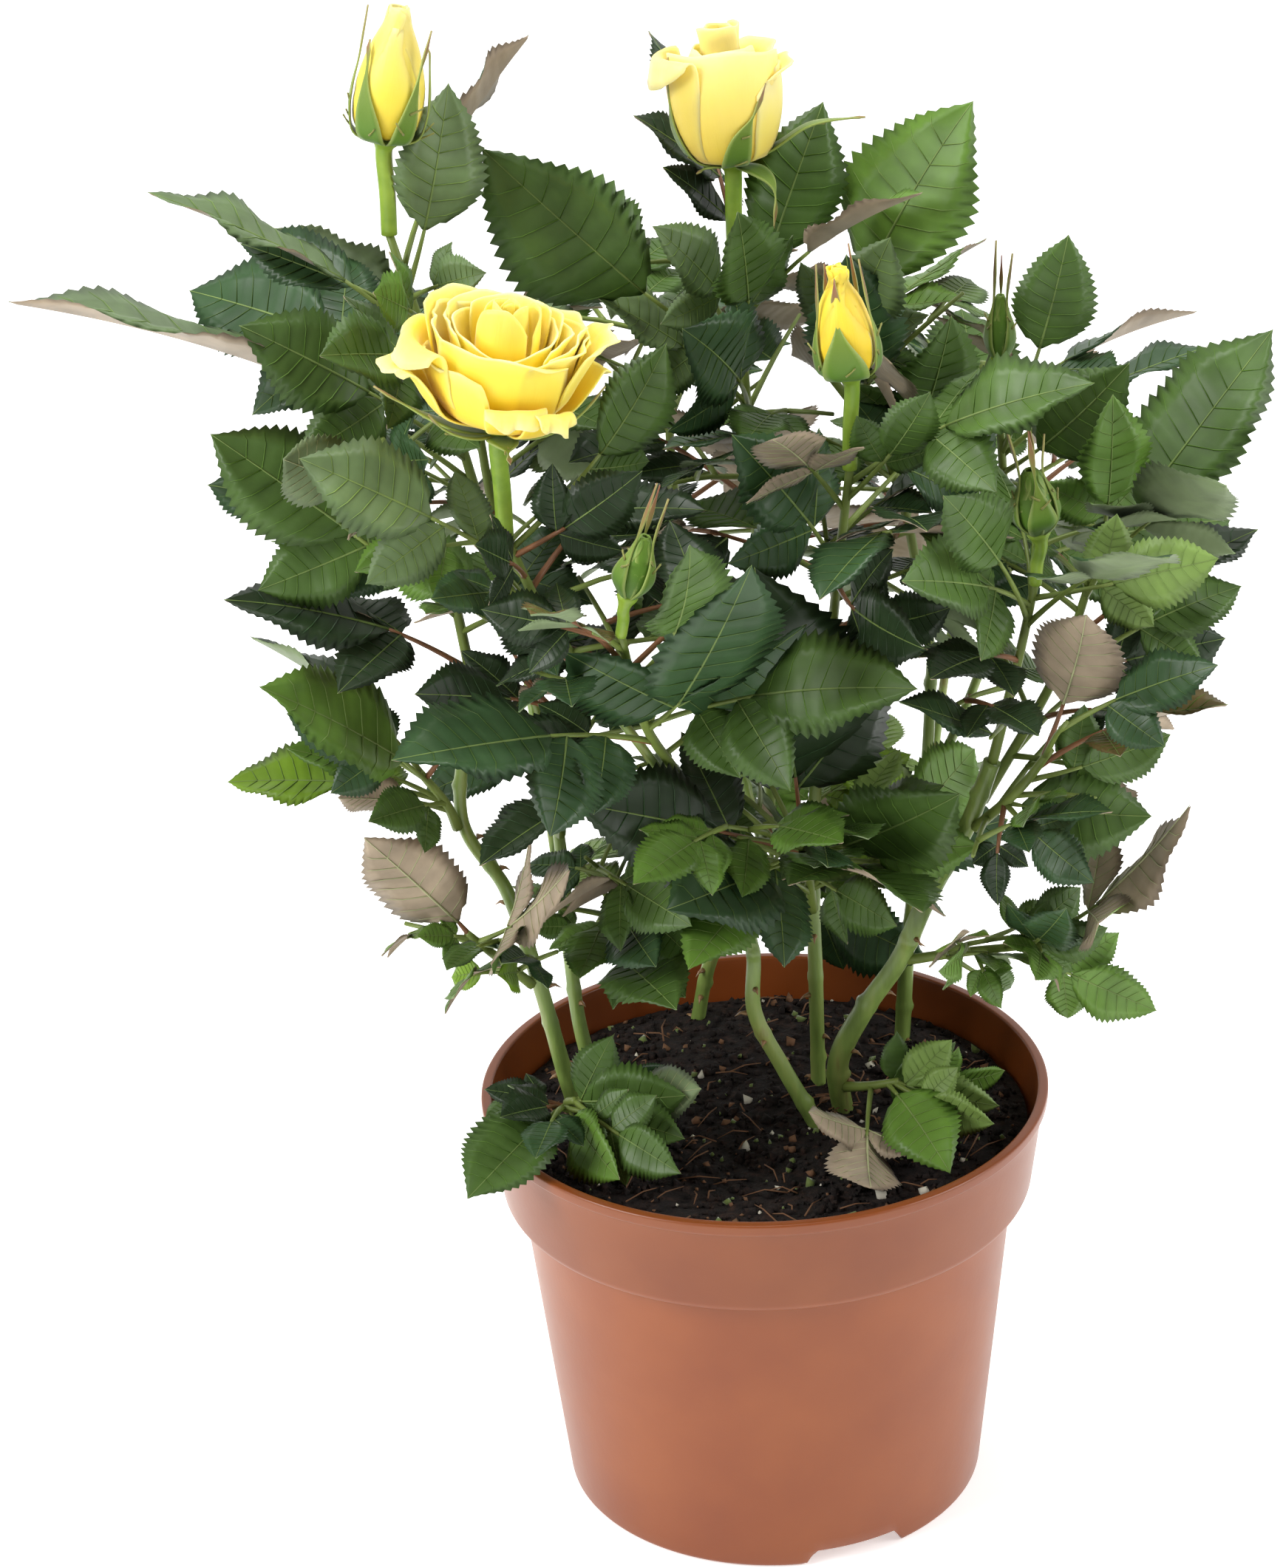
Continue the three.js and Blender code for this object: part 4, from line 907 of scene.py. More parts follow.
def leaflet_surfaces(pile, leaflets, tones, unders, chance, turned_over):
    """Folded, toothed and quilted blades, closed all round.

    Along the blade u runs from root to tip, and across it v from -1 to 1. The half width is
    1.79 W u^0.7 (1 - u)^1.25. Rows lean forward as the side veins do. Odd rows end in the tip of
    a tooth and even rows in the notch behind it, and between the veins the blade is puffed up.
    The sides rise from the midrib and level out, the edge waves, and the blade droops to its
    tip. The underside is the same sheet LEAF_THICK lower, joined to the top at the rim. Pale ribs
    lie on the top, and under the leaves that are turned over.
    """
    keys = "foot", "ahead", "up", "long"
    f, a, up, long = (np.array([leaflet[key] for leaflet in leaflets]) for key in keys)
    long = long[:, None, None]
    some = chance[:, :, None, None]
    count = len(leaflets)
    s = np.cross(a, up)
    rows = 2 * TEETH + 1
    row = np.arange(rows)[None, :, None]
    u = row / (rows - 1)
    v = np.array([-1, -0.55, 0, 0.55, 1.0])[None, None, :]
    tooth = (row % 2) * (u < 0.96)
    edge = (np.abs(v) == 1) * 1.0
    inner = (np.abs(v) == 0.55) * 1.0
    outline = 3.58 * np.clip(u, 0.003, 1) ** 0.7 * (1.0005 - u) ** 1.25
    outline = outline * (1 - edge * (0.08 - 0.12 * tooth) * (u > 0.03) * (u < 0.97))
    half = long * LEAF_WIDTH / 2 * (0.96 + 0.16 * some[:, 0])
    lean = 0.08 * np.abs(v) * 4 * u * (1 - u) + edge * tooth * 0.03 * (1 - u)
    along = long * (u + lean)
    sideways = half * v * outline + long * 0.1 * (some[:, 1] - 0.5) * u**2
    wave = np.sin(2 * np.pi * (u * (1.2 + some[:, 2]) + some[:, 3]) + v)
    fold = 0.12 + 0.3 * some[:, 6]
    lift = half * outline * (fold * np.abs(v) - 0.14 * v**2)
    lift = lift - LEAF_CURL * long * u**2 * (0.5 + 1.0 * some[:, 4])
    lift = lift + 0.12 * half * wave * v**2 * outline
    lift = lift + 0.01 * long * inner * np.sin(np.pi * (row - 3) / 4) ** 2 * outline
    lift = lift + sideways * (some[:, 5] - 0.5) * 0.6 * u
    top = (
        f[:, None, None]
        + a[:, None, None] * along[..., None]
        + s[:, None, None] * sideways[..., None]
        + up[:, None, None] * lift[..., None]
    )
    under = top - up[:, None, None] * LEAF_THICK
    size = rows * 5 + (rows - 2) * 3
    inside = under[:, 1:-1, 1:4].reshape(count, -1, 3)
    points = np.concatenate([top.reshape(count, -1, 3), inside], 1)
    below = np.arange(rows * 5).reshape(rows, 5)
    faces_over = quads(below)
    below[1:-1, 1:4] = rows * 5 + np.arange((rows - 2) * 3).reshape(rows - 2, 3)
    faces_below = quads(below)[:, [0, 3, 2, 1]]
    shift = (np.arange(count) * size)[:, None, None]
    faces = (np.concatenate([faces_over, faces_below])[None] + shift).reshape(-1, 4)
    top_slots = np.repeat(tones[:, None], len(faces_over), 1)
    under_slots = np.repeat(unders[:, None], len(faces_below), 1)
    pile.put(points, faces, np.concatenate([top_slots, under_slots], 1).ravel())
    raised = up[:, None] * 0.05
    scale = np.clip(long[:, 0] / 30, 0.4, 1.1)
    rib, under_rib = len(LEAF_SLOTS) - 2, len(LEAF_SLOTS) - 1
    for tone, vein_tone in VEIN_TONES.items():
        chosen = (tones == TONES.index(tone)) & ~turned_over
        if chosen.any():
            ribs(pile, top[chosen], raised[chosen], scale[chosen], rib, TONES.index(vein_tone))
    if turned_over.any():
        chosen = turned_over
        ribs(pile, under[chosen], -raised[chosen], scale[chosen], under_rib, under_rib)


# the masses whose leaves are joined into one piece
GROUPS = {
    "upper_left": ("upper_left", "left", "left_inner"),
    "left": ("left_low", "low_left", "base_left", "low_middle", "rose"),
    "middle": ("middle", "centre", "yellow_bud"),
    "top": ("top", "top_right"),
    "right": ("right", "far_right", "right_front", "right_low", "low_right", "base_right"),
    "back": ("low_back", "back_left"),
    "back_right": ("back", "back_right"),
}
# how often each tone is dealt, in the shade of the crown, near its top and near its foot: the
# darker mix in the crown is painted shade, and the lighter mix at the top painted light
SHADE = {"deep": 0.4, "blue": 0.28, "mid": 0.22, "fresh": 0.08, "bronze": 0.02}
SUN = {
    "deep": 0.06, "blue": 0.24, "mid": 0.36, "grey": 0.1, "fresh": 0.19, "light": 0.02,
    "bronze": 0.03,
}
FOOT = {
    "deep": 0.04, "blue": 0.1, "mid": 0.34, "fresh": 0.36, "bright": 0.08, "light": 0.04,
    "bronze": 0.04,
}
SUN_FROM, FOOT_TO = 250, 188
TONE_SEED, TAUPE_SHARE = 48611, 0.45


def deal(draw, height):
    """A tone for a leaf at that height, by weight. The mix is darker in the crown as painted
    shade, and lighter near its top as painted light.
    """
    mark = next(draw)
    weights = SUN if height > SUN_FROM else FOOT if height < FOOT_TO else SHADE
    for tone, share in weights.items():
        mark -= share
        if mark < 0:
            return tone
    return "mid"


tone_draw = draw_from(TONE_SEED)
for leaf in leaves:
    named = leaf["tone"]
    dealt = deal(tone_draw, leaf["route"][-1, 2])
    dealt_under = "taupe" if next(tone_draw) < TAUPE_SHARE else "green"
    leaf["tone"] = named if named in TOPS else dealt
    leaf["under"] = named if named in UNDERS else dealt_under
    leaf["over"] = named in UNDERS
    # the blue-green leaves are never mauve beneath
    if named == "blue":
        leaf["under"] = "green"

for title, parts in GROUPS.items():
    names = ["foliage_" + part for part in parts]
    borne = [leaf for leaf in leaves if leaf["mass"] in names]
    blades = [(leaf, leaflet) for leaf in borne for leaflet in leaf["leaflets"]]
    tones = np.array([TONES.index(leaf["tone"]) for leaf, _ in blades])
    unders = np.array([len(TOPS) + list(UNDERS).index(leaf["under"]) for leaf, _ in blades])
    over = np.array([leaf["over"] for leaf, _ in blades])
    chance = np.random.default_rng(len(blades)).random((len(blades), 7))
    pile = Pile()
    leaflet_surfaces(pile, [leaflet for _, leaflet in blades], tones, unders, chance, over)
    piece("leaves_" + title, pile, LEAF_SLOTS, names)


def rooted(line):
    """A branch's points, with the first one moved back into the limb that bears it."""
    return join(line[1:], line[0] - unit(line[1] - line[0]) * ROOT)


def thinning(foot, tip, routes):
    """The radii along routes, from foot to tip."""
    count, rings, _ = routes.shape
    return np.tile(np.linspace(foot, tip, rings), (count, 1))


stalks = Pile()
routes = np.array([leaf["route"] for leaf in leaves])
red = np.array([leaf["tone"] in ("bronze", "deep") for leaf in leaves])
for colour in (False, True):
    chosen = routes[red == colour]
    tubes(stalks, chosen, thinning(PETIOLE_FOOT, PETIOLE_TIP, chosen), 5, int(colour))
stems = np.array([curve(rooted(mass["line"]), np.linspace(0, 1, 13)) for mass in masses])
tubes(stalks, stems, thinning(STEM_FOOT, STEM_TIP, stems), 7)
fine = np.array([curve(twig, np.linspace(0, 1, 5)) for twig in twigs])
tubes(stalks, fine, thinning(TWIG_FOOT, TWIG_TIP, fine), 5)
piece("leaf_stalks", stalks, [PETIOLE, PETIOLE_RED], [mass["name"] for mass in masses])


# ---- canes and boughs ----
def cane(pile, points, foot, tip, seed):
    """A limb with bark relief: radius from foot to tip, with a swollen ring and a one-sided leaf
    scar every 21 mm, soft ribs along it and slow unevenness."""
    sides, rings = 16, 110
    t = np.linspace(0, 1, rings)
    line = curve(points, t)
    far = np.concatenate([[0], np.cumsum(np.linalg.norm(np.diff(line, axis=0), axis=1))])
    a = np.arange(sides) * 2 * np.pi / sides
    radius = (foot + (tip - foot) * t)[:, None] * np.ones(sides)
    rng = np.random.default_rng(seed)
    joints = np.arange(9 + 4 * rng.random(), far[-1] - 4, 21.0)
    for k, joint in enumerate(joints):
        near = np.exp(-(((far - joint) / 1.1) ** 2))[:, None]
        side = np.clip(np.cos(a - k * np.radians(GOLDEN)), 0, 1)[None]
        radius = radius + near * (0.14 + 0.42 * side**3) * foot / 2
    rib_relief = 0.025 * np.cos(5 * a + far[:, None] * 0.05)
    radius = radius * (1 + rib_relief + 0.03 * np.sin(far / 7 + seed)[:, None])
    tubes(pile, line[None], radius[None], sides)


bark = Pile()
rng = np.random.default_rng(5)
for i, (name, (points, foot, tip)) in enumerate(limbs.items()):
    points = rooted(points)
    cane(bark, points, foot * SLIM, tip * SLIM, i)
    # prickles, all turned down a little: nine on a cane and three on a bough
    until, count = (0.75, 9) if name in CANES else (0.9, 3)
    line = curve(points, np.linspace(0.03, until, count))
    turns = rng.random(count) * 360
    sizes = (1.6 + 1.7 * rng.random(count))[:, None]
    out = np.array([polar(turn) for turn in turns])
    base = line + out * (foot * 0.75)
    middle = base + out * sizes * 0.55 - UP * sizes * 0.05
    point = base + out * sizes - UP * sizes * 0.4
    radii = np.tile([0.75, 0.34, 0.05], (count, 1))
    tubes(bark, np.stack([base, middle, point], 1), radii, 6, 1)
piece("canes_and_boughs", bark, [CANE, PRICKLE], list(limbs))


# ---- flowers ----
# petals have slot 0
SEPAL_SLOT, STALK_SLOT = 1, 2


def flower_frame(name):
    """The flower's foot, its axes (the third along it), its height and its widest radius."""
    _, base, top, r, _ = BLOOMS[name]
    base, top = np.array(base, float), np.array(top, float)
    z = unit(top - base)
    x = square(np.array([1.0, 0, 0]), z)
    return base, np.stack([x, np.cross(z, x), z]), np.linalg.norm(top - base), r


def petal(
    pile, place, turn, route, wide, bend, roll=0.0, wave=0.0, phase=0.0, blunt=0.24, slot=0,
    shade=(0, 1), skew=0.0, taper=0.0,
):
    """A petal: its middle line is a curve through (radius, height) pairs, and each cross line is
    an arc about it whose radius runs through the values of bend. The width grows as a quarter
    sine and narrows again by taper, the top edge is rounded, the corners roll outwards by roll,
    the rim waves, and skew lifts it at one corner."""
    base, axes = place[:2]
    rows, columns = 19, 21
    t = np.linspace(0, 1, rows)[:, None]
    s = np.linspace(-1, 1, columns)[None, :]
    reach = t * (1 - blunt * np.abs(s) ** 2.4)
    middle = curve([(r, h, 0) for r, h in route], reach.ravel()).reshape(rows, columns, 3)
    width = wide * (0.28 + 0.72 * np.sin(np.pi / 2 * np.clip(reach / 0.62, 0, 1)))
    width = width * (1 - taper * reach**2)
    arc = np.interp(reach, np.linspace(0, 1, len(bend)), bend)
    angle = s * width / 2 / arc
    out = middle[..., 0] - arc * (1 - np.cos(angle))
    side = arc * np.sin(angle)
    corner = np.clip(np.abs(s) - 0.45, 0, 1) ** 2 * reach**4
    rim = reach**5
    ripple = np.sin(1.7 * np.pi * s + phase) + 0.45 * np.sin(4.3 * np.pi * s + 2.1 * phase)
    out = out + roll * corner + wave * rim * ripple
    height = middle[..., 1] - 0.6 * roll * corner + skew * s * reach**2
    height = height + 0.6 * wave * rim * np.cos(2.1 * np.pi * s + phase)
    c, n = np.cos(np.radians(turn)), np.sin(np.radians(turn))
    local = np.stack([out * c - side * n, out * n + side * c, height], -1)
    paler = reach + (1 - reach) * 0.7 * np.abs(s) ** 9
    marks = [shade[0] + (shade[1] - shade[0]) * paler, s + 0.37 * phase + 0 * t]
    pile.put(base + local @ axes, lattice(rows, columns), slot, np.stack(marks, -1))


def sepal(pile, place, turn, route, wide, sweep, lobes):
    """A sepal: widest low down and drawn out into a thin tail with a slightly leafy tip, laid
    round the bud. Its middle line is a curve through (radius, height) pairs, and sweep turns it
    about the bud as it rises. Lobes are hair-thin side branches: place, side and length."""
    base, axes = place[:2]
    rows, columns = 24, 5
    t = np.linspace(0, 1, rows)[:, None]
    s = np.linspace(-1, 1, columns)[None, :]
    middle = curve([(r, h, 0) for r, h in route], t.ravel())[:, None]
    swell = np.clip(np.sin(np.pi * np.clip(t + 0.14, 0, 0.86) / 0.86), 0, 1)
    width = wide * (swell**1.2 + 0.02)
    width = width + wide * (0.1 * (1 - t) + 0.2 * np.exp(-(((t - 0.86) / 0.07) ** 2)))
    radius = np.maximum(middle[..., 0], 1.5)
    angle = np.radians(turn + sweep * t**2) + s * width / 2 / radius
    out = middle[..., 0] + 0.12 * width * np.abs(s)
    local = np.stack([out * np.cos(angle), out * np.sin(angle), middle[..., 1] + 0 * s], -1)
    marks = np.stack([t + 0 * s, s + 0 * t], -1)
    pile.put(base + local @ axes, lattice(rows, columns), SEPAL_SLOT, marks)
    for at, way, long in lobes:
        k = int(at * (rows - 1))
        root = local[k, 2]
        ahead = unit(local[min(k + 2, rows - 1), 2] - root)
        outward = unit(root * [1, 1, 0])
        side = np.cross(ahead, outward) * way
        step = np.linspace(0, 1, 4)[:, None]
        line = root + (side * 0.8 + ahead * 0.5 + outward * 0.25) * long * step
        line = line + ahead * long * 0.15 * step**2
        marks = np.full((4 * 4 + 2, 2), 0.8)
        radii = np.array([[0.32, 0.26, 0.18, 0.06]])
        tubes(pile, (base + line @ axes)[None], radii, 4, SEPAL_SLOT, marks)


def stalk(name, place):
    """The flower's stalk, from the shoot's tip to a swollen hip under the calyx."""
    base, axes = place[:2]
    on, _, _, _, thick = BLOOMS[name]
    foot = next(mass["line"][-1] for mass in masses if mass["name"] == on)
    low = base * 0.45 + foot * 0.55
    t = np.linspace(0, 1, 18)
    route = curve([foot, low, base - axes[2] * 2.5, base + axes[2] * 1.2], t)
    radius = thick * (0.95 + 0.05 * t + 0.75 * np.clip((t - 0.72) / 0.2, 0, 1) ** 2)
    radius = radius * np.where(t > 0.96, 0.9, 1)
    pile = Pile()
    tubes(pile, route[None], radius[None], 12, STALK_SLOT)
    piece(name + "_stalk", pile, [PETAL, SEPAL, STALK], [name])


def finish_flower(name, place, sheets, petals, thick):
    """Makes a flower's thin sheets into one piece of that thickness, and adds its stalk."""
    made = piece(name + "_dressed", sheets, [petals, SEPAL, STALK], [name], marked=True)
    made.modifiers.new("thickness", "SOLIDIFY").thickness = thick * MM
    stalk(name, place)


def petals_from(pile, place, table, shade):
    """Petals from rows of turn, (radius, share of the height) pairs, width, bend, roll, wave and
    skew. The bend is tighter at the foot, and each waves in its own phase."""
    h = place[2]
    for i, (turn, route, wide, bend, roll, wave, skew) in enumerate(table):
        bends = [bend * 0.55, bend * 0.9, bend, bend]
        line = [(r, z * h) for r, z in route]
        form = {"blunt": 0.13, "shade": shade, "skew": skew}
        petal(pile, place, turn, line, wide, bends, roll, wave, i * 1.9, **form)


def open_rose():
    """The open flower: a scrolled heart, cupped petals round it that are lowest in front, where
    their rims cross, and outer petals that lean away and turn their rims back."""
    name = "bloom_rose"
    place = flower_frame(name)
    h = place[2]
    sheets = Pile()
    heart = [(0.4, 0.4 * h), (1.5, 0.7 * h), (1.1, 0.88 * h)]
    petal(sheets, place, 300, heart, 6, [1.2, 1.4, 1.2], shade=(0.4, 0.8))
    for i in range(6):
        k = i / 5
        route = [(1, 0.3 * h), (3 + 3.4 * k, 0.54 * h), (2.1 + 4.6 * k, (0.89 - 0.03 * k) * h)]
        bends = [3, 4 + 3 * k, 3.0 + 4 * k]
        turn, shade = 60 + i * 137, (0.35, 0.86)
        petal(sheets, place, turn, route, 9 + 6 * k, bends, 0.5, 0.25, i, shade=shade)
    petals_from(sheets, place, (
        (82, ((2, 0.25), (7.6, 0.52), (8.8, 0.74), (9.8, 0.86)), 21, 9, 0.8, 0.4, 0.0),
        (335, ((2, 0.22), (8.0, 0.44), (9.4, 0.6), (10.6, 0.68)), 24, 10, 1.0, 0.4, 4.6),
        (208, ((2, 0.22), (8.2, 0.44), (9.8, 0.6), (11.0, 0.69)), 27, 10.5, 1.0, 0.4, -5.0),
        (104, ((2, 0.2), (9.5, 0.5), (12, 0.72), (13.6, 0.84)), 28, 12.5, 1.6, 0.6, 0.8),
        (158, ((2, 0.2), (9.6, 0.48), (11.6, 0.66), (12.8, 0.78)), 24, 12, 1.2, 0.6, -1.6),
        (14, ((2, 0.2), (9.6, 0.46), (11.8, 0.62), (13.2, 0.73)), 24, 12, 1.2, 0.6, 1.6),
        (60, ((2, 0.2), (8.6, 0.5), (10.6, 0.7), (11.8, 0.82)), 24, 11, 1.2, 0.6, 0.4),
    ), (0.3, 1.0))
    petals_from(sheets, place, (
        (124, ((2, 0.16), (12, 0.42), (15.6, 0.68), (17.8, 0.84)), 32, 17, 2.6, 0.9, 1.8),
        (48, ((2, 0.16), (12, 0.4), (15.4, 0.63), (17.6, 0.75)), 32, 17, 2.6, 0.9, 1.4),
        (172, ((2, 0.14), (11.6, 0.38), (14.2, 0.62), (15.6, 0.77)), 27, 15.5, 2.0, 0.8, -1.8),
        (356, ((2, 0.14), (11.6, 0.36), (14.2, 0.58), (15.8, 0.72)), 27, 15.5, 2.0, 0.8, 2.0),
        (207, ((3, 0.06), (10.4, 0.13), (14.2, 0.3), (16.0, 0.45), (17.4, 0.54)),
         28, 16, 1.6, 0.8, -1.8),
        (338, ((3, 0.1), (10.6, 0.2), (13.6, 0.4), (15.2, 0.58), (17.2, 0.66)),
         27, 15, 1.8, 0.8, 1.8),
        (268, ((3, 0.08), (10.4, 0.16), (14.2, 0.38), (15.4, 0.58), (16.8, 0.62)),
         31, 15.5, 1.5, 0.7, -2.6),
    ), (0.0, 0.97))
    petals_from(sheets, place, (
        (189, ((3, 0.08), (12, 0.2), (16.2, 0.42), (18.4, 0.61), (20.6, 0.62), (22.2, 0.5)),
         25, 17, 1.2, 0.8, -2.6),
        (188, ((3, 0.05), (13, 0.14), (18, 0.33), (21.6, 0.46), (24.6, 0.42)),
         19, 17, 3.0, 1.0, -0.8),
        (2, ((3, 0.08), (12, 0.22), (16, 0.44), (19.4, 0.65), (22.4, 0.72)),
         22, 17, 3.4, 1.0, 1.0),
        (282, ((3, 0.04), (9, 0.08), (13, 0.16), (15, 0.28), (17, 0.28), (17.8, 0.18)),
         13, 12, 1.5, 0.9, 0.6),
        (309, ((3, 0.04), (10, 0.06), (14, 0.14), (16.4, 0.26), (18.6, 0.26), (19.2, 0.16)),
         10, 10, 2.0, 1.0, -0.4),
        (92, ((3, 0.06), (13, 0.2), (18, 0.42), (20.6, 0.58), (22.6, 0.54)),
         32, 19, 3.0, 0.9, 0.0),
        (140, ((3, 0.05), (13, 0.14), (18.6, 0.32), (21.4, 0.44), (23.2, 0.36)),
         26, 18, 3.0, 0.9, 0.0),
        (46, ((3, 0.05), (13, 0.14), (18.6, 0.32), (21.4, 0.44), (23.2, 0.38)),
         26, 18, 3.0, 0.9, 0.0),
    ), (0.1, 1.0))
    for turn, sweep, route in (
        (184, -4, ((1.8, 0), (9, 0.03), (18, 0.13), (26, 0.25))),
        (212, 0, ((1.8, 0), (8, 0.01), (13, 0.06), (17, 0.17))),
        (282, 6, ((1.8, 0), (5, -0.01), (8, -0.04), (9, -0.12))),
        (344, 8, ((1.8, 0), (9, 0.04), (16, 0.18), (21, 0.4))),
        (80, 0, ((1.8, 0), (9, 0.02), (17, 0.1), (24, 0.2))),
    ):
        line = [(r, z * h) for r, z in route]
        sepal(sheets, place, turn, line, 5.6, sweep, ((0.5, 1, 3.5), (0.42, -1, 3.0)))
    finish_flower(name, place, sheets, PETAL, 0.4)


def half_open():
    """The half-open flower: a furled column that stands out of an egg of broad petals, whose rims
    turn back at the left and right."""
    name = "bloom_top"
    place = flower_frame(name)
    h = place[2]
    sheets = Pile()
    for i in range(4):
        low, high, rim = 4.8 - 0.5 * i, 4.4 - 0.5 * i, 5.1 - 0.8 * i
        route = [(2, 0.4 * h), (low, 0.64 * h), (high, 0.82 * h), (rim, (0.96 - 0.01 * i) * h)]
        form = {"blunt": 0.07, "shade": (0.45, 0.95), "skew": 1.0}
        bends = [4.8, low, high, 5.0 - 0.8 * i]
        petal(sheets, place, 215 + i * 110, route, 17 - 3 * i, bends, 0.5, 0.25, i, **form)
    petals_from(sheets, place, (
        (60, ((2, 0.2), (9.4, 0.36), (9.2, 0.56), (6.4, 0.74)), 21, 7.5, 0.4, 0.3, 0.0),
        (300, ((2, 0.2), (9.4, 0.36), (9.0, 0.6), (6.0, 0.82)), 21, 7, 0.4, 0.3, 0.0),
        (180, ((2, 0.2), (9.4, 0.36), (9.2, 0.6), (6.2, 0.82)), 21, 7, 0.4, 0.3, 0.0),
        (100, ((2, 0.03), (8.4, 0.1), (11.2, 0.3), (11.6, 0.5), (10.2, 0.64)),
         30, 11.5, 0.5, 0.4, 0.0),
        (20, ((2, 0.03), (8.4, 0.1), (10.8, 0.3), (10.6, 0.56), (9.2, 0.7), (11.8, 0.78)),
         18, 10, 1.5, 0.5, 1.2),
        (352, ((2, 0.03), (8.4, 0.1), (11.2, 0.3), (11.5, 0.46), (11.8, 0.6), (15.0, 0.69)),
         16, 9, 1.2, 0.6, 1.4),
        (262, ((2, 0.03), (8.2, 0.09), (11, 0.28), (11.9, 0.5), (11.3, 0.72), (10.6, 0.84)),
         38, 11.7, 1.8, 0.7, -0.4),
        (346, ((2, 0.03), (8.4, 0.09), (11.2, 0.28), (12.1, 0.48), (11.8, 0.67)),
         19, 11.8, 0.9, 0.4, 1.6),
        (190, ((2, 0.03), (8.6, 0.1), (11.6, 0.3), (12.4, 0.54), (12.6, 0.76), (14.4, 0.77), (15.6, 0.6)),
         23, 12, 1.0, 0.5, 0.6),
    ), (0.1, 1.0))
    egg = (1.8, 0), (8.4, 0.08), (11.8, 0.29)
    for turn, route, wide, sweep, lobes in (
        (196, (*egg, (12.6, 0.52), (12.0, 0.8)), 5.0, 0, ((0.3, 1, 2.5),)),
        (272, (*egg, (12.3, 0.42), (12.0, 0.6)), 5.2, 44, ((0.22, 1, 4), (0.5, 1, 2))),
        (-8, ((1.8, 0), (9, 0.1), (17, 0.24), (26, 0.27), (29.5, 0.28)), 5.0, -4,
         ((0.4, 1, 5), (0.55, -1, 3.5))),
        (320, ((1.8, 0), (7, -0.02), (12, -0.12), (13, -0.36)), 4.5, -16, ()),
        (215, ((1.8, 0), (6, 0.03), (9.5, 0.01)), 3.5, 0, ()),
    ):
        sepal(sheets, place, turn, [(r, z * h) for r, z in route], wide, sweep, lobes)
    finish_flower(name, place, sheets, CREAM, 0.4)


def closed_bud(name, point, shade, sepals):
    """A pointed bud: petals wound one over the next about its axis, in a calyx of five sepals.
    point is the radius at its tip as a share of the widest, and shade gives the colours at the
    foot and the rim of its petals. The innermost petal ends a step lower."""
    place = flower_frame(name)
    h, r = place[2:]
    sheets = Pile()
    outline = (0.16, 0.03), (0.82, 0.1), (1, 0.25), (0.99, 0.44), (0.74, 0.67)
    outline += (0.18 + point, 0.84), (point, 0.97)
    for i in range(5):
        snug = r * (1 - 0.035 * i)
        route = [(share * snug, z * h) for share, z in outline[: 6 if i == 0 else 7]]
        bends = [max(share, 0.3) * snug for share, _ in outline]
        form = {"blunt": 0.08, "shade": shade, "skew": 0.8, "taper": 0.5}
        petal(sheets, place, 250 - i * 100, route, r * 3.2, bends, 0.5, 0.25, i, **form)
    for turn, sweep, out, high, wide, lobes in sepals:
        low = [(share * r + 0.55, (z - 0.03) * h) for share, z in outline[:4]]
        route = [*low, (r * 0.8 + 0.5 + out * 0.5, 0.64 * h), (r * 0.7 + out, high * h)]
        sepal(sheets, place, turn, route, wide, sweep, lobes)
    finish_flower(name, place, sheets, PETAL, 0.35)


def green_bud(name, tips):
    """A green bud: an egg wrapped in sepals whose long tails rise past its point."""
    place = flower_frame(name)
    h, r = place[2:]
    sheets = Pile()
    egg = (1.2 / r, 0), (0.95, 0.12), (1, 0.26), (0.55, 0.46), (0.3, 0.55)
    route = [(r * share, z * h) for share, z in egg]
    bends = [2, r, r, r * 0.6, r * 0.4]
    form = {"blunt": 0.3, "slot": SEPAL_SLOT, "shade": (0, 0.5)}
    for i in range(5):
        petal(sheets, place, i * 72 + 30, route, r * 1.9, bends, **form)
    low = [(1.3, 0), (r + 0.35, 0.15 * h), (r * 0.95 + 0.4, 0.3 * h), (r * 0.5 + 0.5, 0.52 * h)]
    for i, (turn, out, high) in enumerate(tips):
        lobes = (0.5, 1, 3), (0.6, -1, 2.4)
        sepal(sheets, place, turn, [*low, (out, high * h)], r * 1.25, 10 - 5 * i, lobes)
    finish_flower(name, place, sheets, SEPAL, 0.4)


open_rose()
half_open()
# turn, sweep, how far the tip stands off, its height, width and lobes of each sepal
closed_bud("bud_upper_left", 0.25, (0.25, 0.95), (
    (246, -44, 0.6, 0.74, 5.2, ((0.3, 1, 2.5),)),
    (294, 40, 2.6, 0.86, 4.2, ((0.34, -1, 4), (0.5, 1, 3))),
    (184, 0, 1.4, 0.96, 4.6, ((0.28, 1, 5), (0.36, 1, 3), (0.5, 1, 3))),
    (356, 4, 1.6, 0.7, 4.6, ((0.3, -1, 6), (0.2, -1, 6))),
    (90, 6, 1.5, 0.8, 4.8, ()),
))
closed_bud("bud_yellow", 0.14, (0.1, 0.62), (
    (262, -14, -2.0, 0.9, 8.2, ((0.3, 1, 3),)),
    (200, 10, 0.6, 1.04, 3.6, ((0.34, 1, 3), (0.5, -1, 3))),
    (338, -4, 0.8, 1.03, 3.6, ((0.4, -1, 3), (0.6, 1, 3))),
    (120, 0, 0.5, 0.95, 4.6, ()),
    (50, 0, 0.5, 1.1, 4.0, ()),
))
green_bud("bud_green_right", ((200, 1.6, 1.0), (320, 3.0, 0.9), (80, 2.0, 0.85)))
green_bud(
    "bud_green_front", ((190, 4.5, 1.0), (280, 2.0, 0.92), (350, 4.0, 0.82), (70, 2.5, 0.95))
)
green_bud("bud_green_centre", ((210, 1.5, 1.0), (330, 2.5, 0.9), (90, 2.0, 0.95)))


